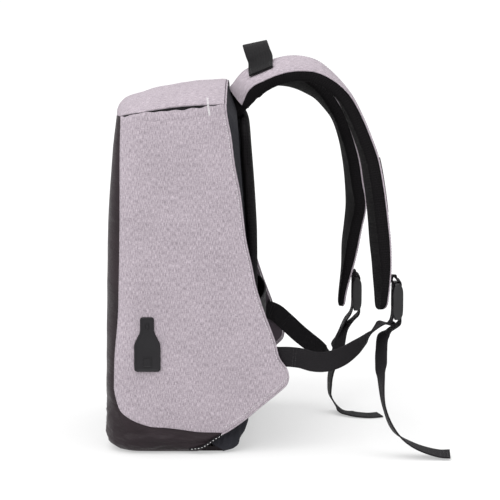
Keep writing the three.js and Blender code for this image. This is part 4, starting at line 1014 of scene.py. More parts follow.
def lower_lip(y, side):
    """Height of the pocket slit's lower lip, which waves a little and opens at the pocket."""
    share = y / DEPTH
    mouth = (smoothstep(share, POCKET_MOUTH[0] - 0.12, POCKET_MOUTH[0])
             * (1 - smoothstep(share, POCKET_MOUTH[1], POCKET_MOUTH[1] + 0.06)))
    start, end = float(front_seam(1)[1]) + SEAM_GAP, float(wing_rear(1)[1])
    along = (y - start) / (end - start)
    (long_share, long_size), (short_share, short_size) = LIP_WAVES
    wave = 1 + long_share * np.sin(y / long_size + side) + short_share * np.sin(y / short_size)
    wave = wave * smoothstep(along, 0, 0.05)
    return slit_z(y) - SEAM_GAP - SLIT_GAP * wave - POCKET_MOUTH[2] * mouth


def side_rows():
    return np.concatenate([np.linspace(0, 0.02, 4)[:-1], np.linspace(0.02, 0.98, 150),
                           np.linspace(0.98, 1, 4)[1:]])


def side_grid(side):
    columns = np.unique(np.concatenate([np.linspace(0, 0.012, 4), np.linspace(0.012, BASE_SHARE, 58),
                                        np.linspace(BASE_SHARE, 0.988, 40), np.linspace(0.988, 1, 4)]))
    rows = side_rows()
    shift = np.array([0, SEAM_GAP, SEAM_GAP])

    def bottom(u):
        low = base_seam(u / BASE_SHARE) + shift
        wing = wing_lower((u - BASE_SHARE) / (1 - BASE_SHARE)) + shift * (1 - u)[:, None]
        return np.where((u <= BASE_SHARE)[:, None], low, wing)

    def top(u):
        y = mix(float(front_seam(1)[1]) + SEAM_GAP, float(wing_rear(1)[1]), u)
        return np.stack([0 * y, y, lower_lip(y, side)], axis=-1)

    flat = patch(bottom, top, lambda v: front_seam(v) + shift, wing_rear, columns, rows)
    grid = flat.copy()
    grid[..., 0] = side * side_x(flat[..., 1], flat[..., 2])
    return grid


def port_zone(grid):
    """1 away from the port cover and 0 under it."""
    y, z = PORT_MIDDLE[0] * DEPTH, PORT_MIDDLE[1] * HEIGHT
    reach = np.hypot((grid[..., 1] - y) / 24, (grid[..., 2] - z) / 40)
    return smoothstep(reach, 0.9, 1.5)


def side_cloth(side, name, node):
    sizes = bpy.context.scene.backpack_sizes
    grid = side_grid(side)
    away = edge_distance(grid)
    direction = inward(grid)
    diagonal = grid.copy()
    diagonal[..., 1] = grid[..., 1] + 0.7 * grid[..., 2]
    diagonal[..., 2] = grid[..., 2] - 0.7 * grid[..., 1]
    folds = ripple(diagonal, 62, 5 + side, (1, 0.8, 2.2)) * sizes.fold * 0.8
    wing = smoothstep(grid[..., 1], 0.2 * DEPTH, 0.5 * DEPTH)
    relief = (folds * (1 - 0.5 * wing) + sizes.puff * (1 - wing)) * smoothstep(away, 2, 30)
    relief = relief * (port_zone(grid) if side > 0 else 1) + sewn(away, 0.7, 2.6) * (1 - wing)
    uv = np.stack([grid[..., 1], grid[..., 2]], axis=-1) * MM
    obj = panel(name, grid, direction, panel_thickness(grid), relief, uv=uv)
    dress(obj, finish("grey_cloth"), "grey_cloth", node)


def flap_lining(side, name, node):
    root, top, start, height = 0.35 * DEPTH, 0.56 * HEIGHT, 0.2, 0.47
    bottom = lambda u: wing_lower(mix(start, 0.985, u))
    rear = lambda v: wing_rear(mix(0.005, height, v)) + np.array([0, -0.8, 0])
    corner = bottom(np.array([0.0]))[0]

    def left(v):
        return np.stack([0 * v, mix(corner[1], root, v), mix(corner[2], top, v)], axis=-1)

    end, first = rear(np.array([1.0]))[0], left(np.array([1.0]))[0]
    upper = lambda u: first + (end - first) * np.asarray(u)[..., None]
    flat = patch(bottom, upper, left, rear, np.linspace(0, 1, 36), np.linspace(0, 1, 70))

    def behind(extra):
        grid = flat.copy()
        grid[..., 0] = side * (side_x(flat[..., 1], flat[..., 2]) - panel_thickness(flat) - 0.6 - extra)
        return grid

    uv = flat[..., 1:] * MM
    obj = sheet(name, behind(0.0), behind(LINING), uv=uv)
    dress(obj, finish("lining_cloth"), "slate_cloth", node)


def top_cloth():
    sizes = bpy.context.scene.backpack_sizes
    u = np.sin(np.linspace(-1, 1, 70) * np.pi / 2)[:, None]
    v = np.concatenate([np.linspace(0, 0.1, 12)[:-1], np.linspace(0.1, 1, 44)])[None, :]
    front = float(front_y(front_seam(1)[2]))
    y = mix(front, SHOULDER_Y, v) + 0 * u
    edge_z = slit_z(y)
    edge_x = np.where(v == 0, half_width(edge_z) - FRONT_CORNER, side_x(y, edge_z))
    x = u * edge_x
    grid = np.stack([x, y - front_bow(u) * (1 - v) ** 3,
                     edge_z + crown_rise(y) * crown_share(np.abs(u)) + SEAM_GAP * 2], axis=-1)
    away = edge_distance(grid)
    folds = ripple(grid, 48, 9, (1.6, 0.8, 1)) * sizes.fold
    relief = folds * smoothstep(away, 2, 18) + sewn(away, 0.5, 2.5)
    obj = panel("top_cloth", grid, inward(grid), WALL, relief, uv=grid_uv(grid))
    dress(obj, finish("grey_cloth"), "grey_cloth", "top_panel")


def base_board():
    inset = BASE_CORNER + SEAM_GAP
    front = float(front_y(0)) + inset
    radius = FRONT_CORNER - BASE_CORNER + 5
    flat = float(half_width(0)) - FRONT_CORNER
    v = np.concatenate([np.linspace(0, 0.18, 18)[:-1], np.linspace(0.18, 1, 24)])[None, :]
    u = np.linspace(-1, 1, 50)[:, None]
    y = mix(front, BASE_REAR, v) + 0 * u
    into = np.maximum(0, front + radius - y)
    edge = float(half_width(0)) - inset - radius + np.sqrt(np.maximum(0, radius**2 - into**2))
    x = u * edge
    bow = front_bow(np.minimum(np.abs(x) / flat, 1)) * np.maximum(0, 1 - v / 0.18)
    grid = np.stack([x, y - bow, 0 * x], axis=-1)
    up = np.broadcast_to(np.array([0, 0, 1.0]), grid.shape)
    obj = panel("base_cloth", grid, up, BASE_BOARD, np.zeros(grid.shape[:2]), uv=grid[..., :2] * MM)
    dress(obj, finish("dark_coated"), "dark_coated", "bottom_panel")


# The back.
def back_loop():
    """The body's outline from behind, with the pad's rim, inward normals, foot and crown shares."""
    half = []
    foot = float(half_width(0)) - BASE_CORNER
    rim_foot = HALF_WIDTH - PAD_SIDE_INSET - PAD_CORNER
    for share in (0, 0.35, 0.7, 1):
        half.append((foot * share, 0, rim_foot * share, PAD_FOOT))
    for turn in (22.5, 45, 67.5, 90):
        a = math.radians(turn)
        z = BASE_CORNER * (1 - math.cos(a))
        half.append((float(half_width(z)) - BASE_CORNER * (1 - math.sin(a)), z,
                     rim_foot + PAD_CORNER * math.sin(a), PAD_FOOT + PAD_CORNER * (1 - math.cos(a))))
    rim_shoulder = SHOULDER - PAD_TOP_INSET
    for share in (0.04, 0.1, 0.2, 0.32, 0.47, 0.62, 0.77, 0.88, 0.95, 0.985):
        z, rim_z = mix(BASE_CORNER, SHOULDER, share), mix(PAD_FOOT + PAD_CORNER, rim_shoulder, share)
        half.append((float(half_width(z)), z, float(half_width(rim_z)) - PAD_SIDE_INSET, rim_z))
    wide = float(half_width(SHOULDER))
    for share in CROWN_STEPS:
        rise = CROWN * float(crown_share(share))
        half.append((wide * share, SHOULDER + rise, (wide - PAD_SIDE_INSET) * share, rim_shoulder + rise))
    half = np.array(half, float)
    flip = half[1:-1][::-1] * np.array([-1, 1, -1, 1])
    ring = flowing(np.vstack([half, flip]), per=7, closed=True)
    p, rim = ring[:, :2], ring[:, 2:]
    along = unit(np.roll(p, -1, axis=0) - np.roll(p, 1, axis=0))
    return {"p": p, "rim": rim, "inside": np.stack([-along[:, 1], along[:, 0]], axis=-1),
            "foot": 1 - smoothstep(p[:, 1], 3, 20),
            "crown": smoothstep(p[:, 1], SHOULDER - 2, SHOULDER + CROWN / 2)}


def gusset_cloth():
    sizes = bpy.context.scene.backpack_sizes
    q = back_loop()
    foot = q["foot"]
    z0 = q["p"][:, 1]
    under = RING_INSET * (1 - foot) + CROWN_SLACK * q["crown"]

    def inset(distance, y):
        p = q["p"] + q["inside"] * distance[:, None]
        return np.stack([p[:, 0], y(p[:, 1]), p[:, 1]], axis=-1)

    def part(share, gap, y):
        p = mix(q["p"], q["rim"], share) + unit(q["p"] - q["rim"]) * gap[:, None]
        return np.stack([p[:, 0], y(p[:, 1]), p[:, 1]], axis=-1)

    rows = [
        inset(under, lambda z: mix(zip_y(z0), BASE_REAR + 2 * SEAM_GAP, foot)),
        inset(under + 1.5 + 4 * foot,
              lambda z: mix(zip_y(z0) + 0.054 * DEPTH, BASE_REAR + 0.092 * DEPTH, foot)),
        part(0.5, 0 * foot,
             lambda z: mix(np.minimum(zip_y(z0) + 0.081 * DEPTH, back_y(z) - PAD - RING_WALL),
                           BASE_REAR + 0.135 * DEPTH, foot)),
        part(1, 0.8 * smoothstep(foot, 0, 0.1),
             lambda z: mix(back_y(z) - PAD - 0.6, float(back_y(PAD_FOOT)) - 1, foot)),
    ]
    stacked = np.stack(rows, axis=0).reshape(4, -1)
    dense = flowing(stacked, per=9).reshape(-1, len(foot), 3)
    grid = np.transpose(dense, (1, 0, 2))
    direction = inward(grid, 0.16 * DEPTH)
    last = grid.shape[1] - 1
    share = smoothstep(np.arange(grid.shape[1]) / last, 0.66, 1)[None, :, None] * (foot > 0)[:, None, None]
    direction = unit(mix(direction, np.array([0, -1.0, 0]), share))
    away = edge_distance(grid, closed=True)
    low = 1 - smoothstep(grid[..., 2], 40, 120)
    beside = smoothstep(np.abs(grid[..., 0]), 80, 120)
    phase = mix(grid[..., 0], grid[..., 1], beside) * 2 * np.pi / GATHER_PITCH
    gathers = np.sin(phase + 1.6 * ripple(grid, 30, 21)) * low * smoothstep(away, 2, 9)
    folds = ripple(grid, 26, 12, (1, 1, 1.4)) * sizes.fold * 0.8
    relief = -np.abs(folds * smoothstep(away, 2, 12)) + (gathers - 1) * 0.8 * low + sewn(away, 0.4, 2)
    relief = relief * smoothstep(grid[..., 2], 1, 14)
    obj = panel("gusset_cloth", grid, direction, RING_WALL, relief, closed=True)
    dress(obj, finish("slate_cloth"), "slate_cloth", "back_gusset")


def zip_line(depth, step_in):
    """The line of the hidden zip: up the right side, over the top and down the left side."""
    q = back_loop()
    keep = np.flatnonzero(q["foot"] < 0.25)
    p = q["p"][keep] + q["inside"][keep] * (WALL + step_in + CROWN_SLACK * q["crown"][keep])[:, None]
    return np.stack([p[:, 0], zip_y(q["p"][keep, 1]) - depth, p[:, 1]], axis=-1), q["inside"][keep]


def zip_tape():
    tape = [zip_line(depth, 0.4) for depth in (9.0, 6.4, 3.8, 1.2)]
    outer = np.stack([p for p, _ in tape], axis=1)
    inside = np.stack([tape[0][1][:, 0], 0 * tape[0][1][:, 0], tape[0][1][:, 1]], axis=-1)[:, None]
    obj = sheet("zip_tape", outer, outer + inside * 1.2)
    dress(obj, finish("black_webbing"), "black_webbing", "main_zipper")
    made = finish("zip_teeth")
    teeth = row("zip_coil", [zip_line(0.7, 0.9)[0]], *ZIP_TOOTH, made, tooth=True)
    dress(teeth, made, "black_webbing")


def pad_puff(z):
    """How far the padded back stands out in its middle at a height."""
    return PAD / 8 * np.sin(np.clip((z / HEIGHT - 0.13) / 0.73, 0, 1) * np.pi)


def pad_rings(set_in):
    """Rings of the padded back, from the middle of its inner face to the middle of its outer face."""
    rim = back_loop()["rim"]
    rim = np.stack([rim[:, 0], 0 * rim[:, 0], rim[:, 1]], axis=-1)
    spine = np.clip(rim[:, 2], 0.31 * HEIGHT, 0.72 * HEIGHT)
    spine = np.stack([0 * rim[:, 0], 0 * rim[:, 0], spine], axis=-1)

    def ring(share, y):
        q = mix(rim, spine, share)
        q = q + unit(spine - rim) * set_in * (1 - share)
        return np.stack([q[:, 0], y(q[:, 2]), q[:, 2]], axis=-1)

    inner = [ring(share, lambda z: back_y(z) - PAD + set_in) for share in (1, 0.75, 0.5, 0.25, 0)]
    edge = [ring(0, lambda z: back_y(z) - PAD / 2)]
    edge += [ring(share, lambda z: back_y(z) - down - set_in)
             for share, down in ((0.01, 3), (0.04, 1.2), (0.1, 0.4))]
    outer = [ring(share, lambda z: back_y(z) + pad_puff(z) * puff - set_in)
             for share, puff in ((0.25, 0.3), (0.5, 0.6), (0.75, 0.85), (1, 1))]
    return inner + edge + outer


def back_cushion():
    """The padded mesh back, swollen by a short cloth simulation and kept inside its solid."""
    sizes = bpy.context.scene.backpack_sizes
    rings = np.array(pad_rings(sizes.pad_swell))
    count, k = rings.shape[:2]
    faces = [(r * k + j, r * k + (j + 1) % k, (r + 1) * k + (j + 1) % k, (r + 1) * k + j)
             for r in range(count - 1) for j in range(k)]
    flat = rings.reshape(-1, 3)
    corners = np.array([[flat[a][[0, 2]] * MM for a in f] for f in faces])
    obj = make("back_cushion", flat, faces, corners)
    clean = bmesh.new()
    clean.from_mesh(obj.data)
    bmesh.ops.remove_doubles(clean, verts=clean.verts, dist=2e-5)
    bmesh.ops.holes_fill(clean, edges=clean.edges)
    bmesh.ops.recalc_face_normals(clean, faces=clean.faces)
    clean.to_mesh(obj.data)
    clean.free()
    remesh = obj.modifiers.new("Voxels", "REMESH")
    remesh.mode, remesh.voxel_size = "VOXEL", 0.005
    settle(obj)
    swell(obj, 4.0, 2.0 * sizes.pad_swell * MM)
    points = np.array([v.co for v in obj.data.vertices]) / MM
    # Two shallow sewn channels run down the pad above the luggage band.
    x, z = points[:, 0], points[:, 2]
    channel = np.exp(-((np.abs(x) - CHANNEL_X) / CHANNEL_WIDTH) ** 2) * smoothstep(z, *CHANNEL_FOOT)
    channel *= 1 - smoothstep(z, *CHANNEL_TOP)
    outer = points[:, 1] > back_y(points[:, 2]) - PAD / 2
    points[:, 1] -= np.where(outer, CHANNEL_DEPTH * channel, 0)
    behind = back_y(points[:, 2])
    points[:, 1] = np.clip(points[:, 1], behind - PAD + 0.2, behind + 0.2 + pad_puff(points[:, 2]) * 0.6)
    obj.data.vertices.foreach_set("co", (points * MM).ravel())
    obj.data.update()
    soften = obj.modifiers.new("Soften", "SMOOTH")
    soften.factor, soften.iterations = 0.5, 4
    fine = obj.modifiers.new("Fine", "SUBSURF")
    fine.levels = fine.render_levels = 1
    settle(obj)
    obj.data.shade_smooth()
    dress(obj, finish("back_mesh"), "black_mesh", "back_pad")


def swell(obj, pressure, limit):
    """Runs Cloth with inner pressure for twenty frames and keeps each point within a limit."""
    before = np.array([v.co for v in obj.data.vertices])
    cloth = obj.modifiers.new("Cloth", "CLOTH")
    cloth.settings.use_pressure = True
    cloth.settings.uniform_pressure_force = pressure
    cloth.settings.effector_weights.gravity = 0
    cloth.settings.quality = 5
    cloth.point_cache.frame_start, cloth.point_cache.frame_end = 1, 20
    scene = bpy.context.scene
    for k in range(1, 21):
        scene.frame_set(k)
    settle(obj)
    scene.frame_set(1)
    after = np.array([v.co for v in obj.data.vertices])
    move = after - before
    length = np.linalg.norm(move, axis=1, keepdims=True)
    move *= np.minimum(1, limit / np.maximum(length, 1e-9))
    obj.data.vertices.foreach_set("co", (before + move).ravel())
    obj.data.update()


def luggage_strap():
    top, half = 0.408 * HEIGHT, 0.74 * HALF_WIDTH
    mid = top - BAND_HEIGHT / 2
    share = np.linspace(-1, 1, 33)
    lift = BAND_BULGE * (1 - share**2) ** 0.8
    at = np.stack([share * half, back_y(mid) + WEBBING_THICK / 2 + CLEAR + lift, 0 * share + mid], axis=-1)
    path = frames(at, np.tile([0, 0, 1.0], (33, 1)), np.zeros(33), 96)
    obj = sweep("luggage_strap", path, rounded(BAND_HEIGHT, WEBBING_THICK, 0.9, 14))
    dress(obj, finish("band_cloth"), "slate_cloth", "luggage_band")
    lines = []
    proud = WEBBING_THICK / 2 + 0.15
    for height in (BAND_HEIGHT / 2 - 4, -BAND_HEIGHT / 2 + 4):
        lines.append(path["at"] + path["across"] * height + np.array([0, proud, 0]))
    for step in (4, 7, -5, -8):
        centre = path["at"][step]
        lines.append(np.array([centre + [0, proud, s] for s in np.linspace(-31, 31, 20)]))
    stitches("luggage_stitches", "luggage", lines, "black_thread", "black_webbing")


def binding():
    """Binding along the flaps and the top's rear edge in grey, and down the base wrap in black."""
    reach = BINDING_RADIUS + 0.15
    foot = line(side_line(PIPING_FOOT + [WING_LOWER_EDGE[0]]))
    wing_stations = np.linspace(0, 1, 40)[1:]
    rear_stations = np.concatenate([np.linspace(0, 0.05, 6)[1:], np.linspace(0.05, 1, 90)[1:]])
    edge = np.vstack([foot(np.linspace(0, 1, 26)), wing_lower(wing_stations), wing_rear(rear_stations)])
    before = unit(edge - np.vstack([edge[:1], edge[:-1]]))
    after = unit(np.vstack([edge[1:], edge[-1:]]) - edge)
    before[0], after[-1] = after[0], before[-1]
    along = unit(before + after)
    outward = np.stack([0 * along[:, 0], along[:, 2], -along[:, 1]], axis=-1)
    y, z = edge[:, 1], edge[:, 2]
    off = np.where(z > 60, 1, smoothstep(y, 0.222 * DEPTH, 0.262 * DEPTH))
    down = np.maximum(0, (BASE_CORNER - z) / BASE_CORNER)
    lift = (reach + 0.3) * np.cos(off * np.pi / 2)
    sink = smoothstep(off, 0.75, 1) * panel_thickness(edge) / 2
    turn = reach * np.sin(off * np.pi / 2)
    right = np.stack([side_x(y, z) - base_inset(z) + np.sqrt(1 - down**2) * lift - sink,
                      y + outward[:, 1] * turn, z - down * lift + outward[:, 2] * turn], axis=-1)
    wide = float(half_width(SHOULDER))
    over = np.array([[(wide - 2) * s, SHOULDER_Y + PIPING_RADIUS,
                      SHOULDER - 2 + SEAM_GAP + CROWN * float(crown_share(s))]
                     for s in CROWN_STEPS])
    base = 24  # points over the base wrap
    top = flowing(np.vstack([right[-1:], over]), per=8)[1:]
    half = np.vstack([right[base:], top])
    whole = np.vstack([half, half[:-1][::-1] * np.array([-1, 1, 1])])
    obj = cord_along("edge_binding", whole, BINDING_RADIUS)
    dress(obj, finish("grey_cloth"), "grey_cloth", "edge_piping")
    dots = []
    for side, label in ((1, "right"), (-1, "left")):
        path = right[:base + 1] * np.array([side, 1, 1])
        path[:, 2] = np.maximum(path[:, 2], BINDING_RADIUS + 0.55)
        obj = cord_along(f"base_binding_{label}", path, BINDING_RADIUS + 0.5)
        dress(obj, finish("black_webbing"), "black_webbing")
        dots.append(path[2:] + np.array([side * (BINDING_RADIUS + 0.6), 0, 0]))
    stitches("base_binding_stitches", "base", dots, "white_thread", "black_webbing")


def cord_along(name, path, radius):
    """A round cord along a path of points, its section kept from turning."""
    tangent = unit(np.gradient(path, axis=0))
    one = unit(np.cross(tangent, np.where(np.abs(tangent[:, :1]) > 0.9, [[0, 1.0, 0]], [[1.0, 0, 0]])))
    for k in range(1, len(one)):
        one[k] = one[k - 1] - tangent[k] * np.dot(one[k - 1], tangent[k])
        one[k] /= np.linalg.norm(one[k])
    two = np.cross(tangent, one)
    angle = np.linspace(0, 2 * np.pi, 10, endpoint=False)
    rings = (path[:, None] + radius * (one[:, None] * np.cos(angle)[None, :, None]
                                       + two[:, None] * np.sin(angle)[None, :, None]))
    length = np.concatenate([[0], np.cumsum(np.linalg.norm(np.diff(path, axis=0), axis=1))])
    return tube(name, rings, np.linspace(0, 2 * np.pi * radius, 11)[None], np.append(length, length[-1]))


# Shoulder straps.
def strap_root(side, table):
    """The strap's flat lower end, sewn down to the gusset under its padded part."""
    path = strap_path(table, 220)
    start, back = path["at"][0], -path["tangent"][0]
    points = [start + back * d + path["normal"][0] * n
              for d, n in ((-3, 1.2), (4, 1.4), (13, 0.6), (25, -0.6))]
    root = frames(points, [path["across"][0]] * 4, np.zeros(4), 24)
    if root["normal"][0] @ path["normal"][0] < 0:
        root["normal"] = -root["normal"]
    half = path["extra"][0] - 1.5
    section = [rounded(2 * half * mix(1, 0.8, float(t)), mix(8.0, 4.5, float(t)), 1.4, 8)
               for t in root["t"]]
    obj = sweep(f"strap_root_{side}", root, section)
    dress(obj, finish("black_mesh"), "black_mesh")


def strap_path(table, steps):
    t = np.array(table, float)
    at = t[:, :3] * BODY
    across = np.stack([np.sqrt(1 - t[:, 3] ** 2 - t[:, 4] ** 2), t[:, 3], t[:, 4]], axis=-1)
    path = frames(at, across, t[:, 5], steps)
    up = np.where(path["t"] < 0.3, path["normal"][:, 2], path["normal"][:, 1])
    path["normal"] = np.where((up < 0)[:, None], -path["normal"], path["normal"])
    path["extra"] = path["extra"] * mix(0.55, 1, tip(path["t"]))
    return path


def tip(t):
    """1 along a strap, falling to 0 over its rounded lower end."""
    return np.sqrt(1 - np.clip((t - TIP_START) / (1 - TIP_START), 0, 1) ** 2)


def taper(t):
    """How thick a strap is at a share of its length, as a share of its thickness at the shoulder."""
    return mix(1, STRAP_END, smoothstep(t, 0.78, 1)) * mix(0.25, 1, tip(t))


def strap_foam(side, table):
    """The strap's padded black mesh body with rolled edges."""
    path = strap_path(table, 220)
    section = []
    for w, t, along in zip(path["extra"], path["t"], path["along"]):
        h = STRAP_PAD / 2 * float(taper(t))
        roll = min(5.0, 1.2 * h)
        bunch = FOAM_BUNCH * math.exp(-((along - BUNCH_AT) / BUNCH_REACH) ** 2)
        deep = h + bunch - FOAM_PRESS * (1 - float(smoothstep(along, 0, PRESS_REACH)))
        low = [[x, -deep - 0.6 + 1.2 * (x / w) ** 2] for x in np.linspace(-w + roll, w - roll, 15)]
        edge = [[w - roll + roll * math.sin(a), -deep + roll - roll * math.cos(a)]
                for a in np.linspace(0.25, 1.5, 6)]
        high = [[w, h - 1.2], [w - 0.6, h - 0.2]] + [[x, h] for x in np.linspace(w - 2, -w + 2, 9)]
        high += [[-w + 0.6, h - 0.2], [-w, h - 1.2]]
        section.append(low + edge + high + [[-x, y] for x, y in edge[::-1]])
    obj = sweep(f"strap_foam_{side}", path, section)
    dress(obj, finish("black_mesh"), "black_mesh", f"strap_pad_{side}")


def strap_top(t, x):
    """Height of the grey face over the strap's middle at shares of its length and half width."""
    low = STRAP_PAD / 2 * taper(t) + 0.35 + STRAP_COVER
    return low + STRAP_CROWN * taper(t) * np.maximum(0, 1 - np.abs(x) ** 2.6) ** 0.8


def strap_face(side, table):
    sizes = bpy.context.scene.backpack_sizes
    path = strap_path(table, 260)
    shares = np.sin(np.linspace(-1, 1, 27) * np.pi / 2)
    section = []
    for k, w in enumerate(path["extra"]):
        t = path["t"][k]
        low = STRAP_PAD / 2 * float(taper(t)) + 0.35
        along = path["along"][k]
        wrinkle = [noise.noise(Vector((along / 16, s * 1.3, 3.1 if side == "right" else 8.4)))
                   for s in shares]
        top = [[s * w, float(strap_top(t, s)) - 0.5 - 0.6 * sizes.fold * max(0, wrinkle[i]) * (1 - s * s)]
               for i, s in enumerate(shares)]
        under = [[x, low] for x in np.linspace(w - 0.2, -w + 0.2, 13)]
        section.append(top + under)
    obj = sweep(f"strap_face_{side}", path, section)
    dress(obj, finish("grey_cloth"), "grey_cloth", f"strap_cover_{side}")
    lines = []
    for s in (-0.86, 0.86):
        top = strap_top(path["t"], s) - 0.3
        lines.append(beside(path, slice(None), (path["extra"] * s)[:, None], top[:, None])[4:-4])
    stitches(f"strap_stitches_{side}", "strap", lines, "grey_thread", "grey_cloth")


def strap_patch(side, table):
    path = strap_path(table, 300)
    keep = (path["t"] >= 0.56) & (path["t"] <= 0.72)
    path = {key: value[keep] for key, value in path.items()}
    shares = np.linspace(-OVERLAY_SHARE, OVERLAY_SHARE, 19)
    low = STRAP_TOP + 0.4
    drop = lambda s: 0.3 * (s / OVERLAY_SHARE) ** 2
    section = [[[s * w, low + 1.0 - drop(s) - (0.4 if abs(s) > 0.42 else 0)] for s in shares]
               + [[s * w, low - drop(s)] for s in shares[::-1]] for w in path["extra"]]
    obj = sweep(f"strap_patch_{side}", path, section)
    dress(obj, finish("black_webbing"), "black_webbing", f"strap_overlay_{side}")


# Webbing, adjusters, handle, port cover.
def placed(rows):
    t = np.array(rows, float)
    return t[:, :3] * BODY, unit(t[:, 3:6])


def webbing_path(lower, tail, middle):
    at = np.array(middle) * BODY
    around = ROUND_BAR
    turn = ADJUSTER["lower"]
    bend = [(-around - 3, turn - 19), (-around - 0.8, turn - 13), (-around, turn - 5),
            (-around * 0.92, turn - 1.5), (-around * 0.45, turn + 0.5), (0, turn + 0.9),
            (around * 0.45, turn + 0.5), (around * 0.92, turn - 1.5), (around, turn - 5),
            (around + 0.3, turn - 12), (around - 0.5, turn - 19)]
    over = np.array([[at[0], at[1] + y, at[2] + z] for y, z in bend])
    first, second = placed(lower), placed(tail)
    points = np.vstack([first[0], over, second[0]])
    across = np.vstack([first[1], np.tile([1.0, 0, 0], (len(over), 1)), second[1]])
    return frames(points, across, np.zeros(len(points)), 420)


def webbing(side, lower, tail, middle):
    path = webbing_path(lower, tail, middle)
    obj = sweep(f"strap_webbing_{side}", path, rounded(WEBBING, WEBBING_THICK, 0.8, 8, 2))
    dress(obj, finish("black_webbing"), "black_webbing", f"webbing_{side}")
    # The tail's end is sewn where it is folded over, though the fold itself is not modelled, and the start
    # is sewn to the flap.
    last = len(path["at"]) - 1
    lines = []
    across, proud = np.linspace(-10, 10, 12)[:, None], WEBBING_THICK / 2 + 0.12
    for k in (last - 3, last - 7, last - 11, 7, 10, 30, 33):
        lines += [beside(path, k, across, face * proud) for face in (1, -1)]
    stitches(f"webbing_stitches_{side}", "webbing", lines, "black_thread", "black_webbing")


def adjuster_loop(side, strap, middle):
    """The doubled webbing that holds an adjuster's top bar against the strap."""
    at = np.array(middle) * BODY
    around = ROUND_BAR
    path = strap_path(strap, 60)

    def surface(up, lift):
        height = at[2] + ADJUSTER["tall"] / 2 + up
        k = min((k for k in range(len(path["t"])) if path["t"][k] > 0.6),
                key=lambda k: abs(path["at"][k, 2] - height))
        out = float(strap_top(path["t"][k], 0.0)) + WEBBING_THICK / 2 + 0.5 + lift
        middle, across, normal = path["at"][k], path["across"][k], path["normal"][k]
        return middle + across * (at[0] - middle[0] - normal[0] * out) / across[0] + normal * out, across

    layer, slot = WEBBING_THICK + 0.4, at[2] + ADJUSTER["upper"]
    top, low, low_back, top_back = surface(9, 0), surface(3, 0), surface(5.5, layer), surface(9, layer)
    turn = [(-around, 9), (-around, 4), (-around * 0.92, 1), (-around * 0.45, -0.9), (0, -1.2),
            (around * 0.45, -0.9), (around * 0.92, 1), (around, 4), (around, 9.5), (around * 0.75, 12.3),
            (around * 0.1, 13.8)]
    round_bar = [(np.array([at[0], at[1] + y, slot + z]), np.array([1.0, 0, 0])) for y, z in turn]
    stations = [top, low, *round_bar, low_back, top_back]
    looped = frames([p for p, _ in stations], [a for _, a in stations], np.zeros(len(stations)), 110)
    obj = sweep(f"adjuster_band_{side}", looped, rounded(WEBBING - 1, WEBBING_THICK, 0.8, 8, 2))
    dress(obj, finish("black_webbing"), "black_webbing", f"adjuster_loop_{side}")


def adjuster(side, node):
    obj = copy_of_node(node, f"adjuster_buckle_{side}")
    bevel = obj.modifiers.new("Rounded edges", "BEVEL")
    bevel.width, bevel.segments, bevel.limit_method = 0.0011, 3, "ANGLE"
    settle(obj)
    obj.data.shade_smooth()
    obj.data.set_sharp_from_angle(angle=math.radians(40))
    dress(obj, finish("black_plastic"), "black_plastic", node)
    place = {"right": RIGHT_ADJUSTER, "left": LEFT_ADJUSTER}[side]
    at = np.array(place) * BODY
    rails = []
    for end in (-1, 1):
        z = np.linspace(-ADJUSTER["tall"] / 2 + 1, ADJUSTER["tall"] / 2 - 1, 25)
        points = [at + np.array([end * (ADJUSTER["wide"] / 2 - 1.2), 1.0, up]) for up in z]
        path = frames(points, [[0, 1.0, 0]] * len(z), np.zeros(len(z)), 24)
        round_end = np.sqrt(np.maximum(0.08, 1 - np.abs(2 * path["t"] - 1) ** 5))
        section = [rounded(RAIL_DEPTH * k, 2.6 * mix(0.7, 1, k), 1.2, 6) for k in round_end]
        rails.append(sweep(f"adjuster_rail_{side}", path, section))
    join(rails)
    dress(rails[0], finish("black_plastic"), "black_plastic")


def carry_handle():
    def foot(table, side):
        path = strap_path(table, 60)
        k = int(np.argmin(np.abs(path["at"][:, 1] - HANDLE_FOOT)))
        lift = path["normal"][k] * (STRAP_TOP + HANDLE_THICK / 2 + 3.2 * CLEAR)
        return [(path["at"][k] + path["across"][k] * side * a + lift, path["tangent"][k])
                for a in (12, 3, -6)]

    arch = [[0.285, 0.522, 1.054, 0.42], [0.24, 0.507, 1.070, 0.3], [0.165, 0.492, 1.088, 0.24],
            [0.075, 0.486, 1.096, 0.21]]
    right = [(np.array([x, y, z]) * BODY, unit(np.array([0, 1, s])))
             for x, y, z, s in arch]
    left = [(p * [-1, 1, 1], a) for p, a in right[::-1]]
    stations = foot(RIGHT_STRAP, 1) + right + left + foot(LEFT_STRAP, -1)[::-1]
    path = frames([p for p, _ in stations], [a for _, a in stations], np.zeros(len(stations)), 120)
    obj = sweep("handle_webbing", path, rounded(HANDLE_WIDTH, HANDLE_THICK, 1.2, 10))
    dress(obj, finish("handle_webbing"), "black_webbing", "carry_handle")
    lines = []
    for end in (slice(3, 16), slice(-16, -3)):
        for s in (-12.5, 12.5):
            lines += [beside(path, end, s, face * (HANDLE_THICK / 2 + 0.12)) for face in (1, -1)]
    stitches("handle_stitches", "handle", lines, "black_thread", "black_webbing")


def port_outline(shrink):
    """Closed outline of the port cover, moved in by a distance, as depth and height."""
    right = np.array(PORT_OUTLINE) * HALF_WIDTH
    whole = np.vstack([right, right[::-1] * [-1, 1]])
    dense = []
    for a, b in zip(whole, np.roll(whole, -1, axis=0)):
        steps = max(1, int(np.linalg.norm(b - a) / 1.2))
        dense += [a + (b - a) * k / steps for k in range(steps)]
    dense = np.array(dense)
    dense = 0.5 * dense + 0.25 * (np.roll(dense, 1, axis=0) + np.roll(dense, -1, axis=0))
    along = unit(np.roll(dense, -1, axis=0) - np.roll(dense, 1, axis=0))
    return dense + np.stack([-along[:, 1], along[:, 0]], axis=-1) * shrink


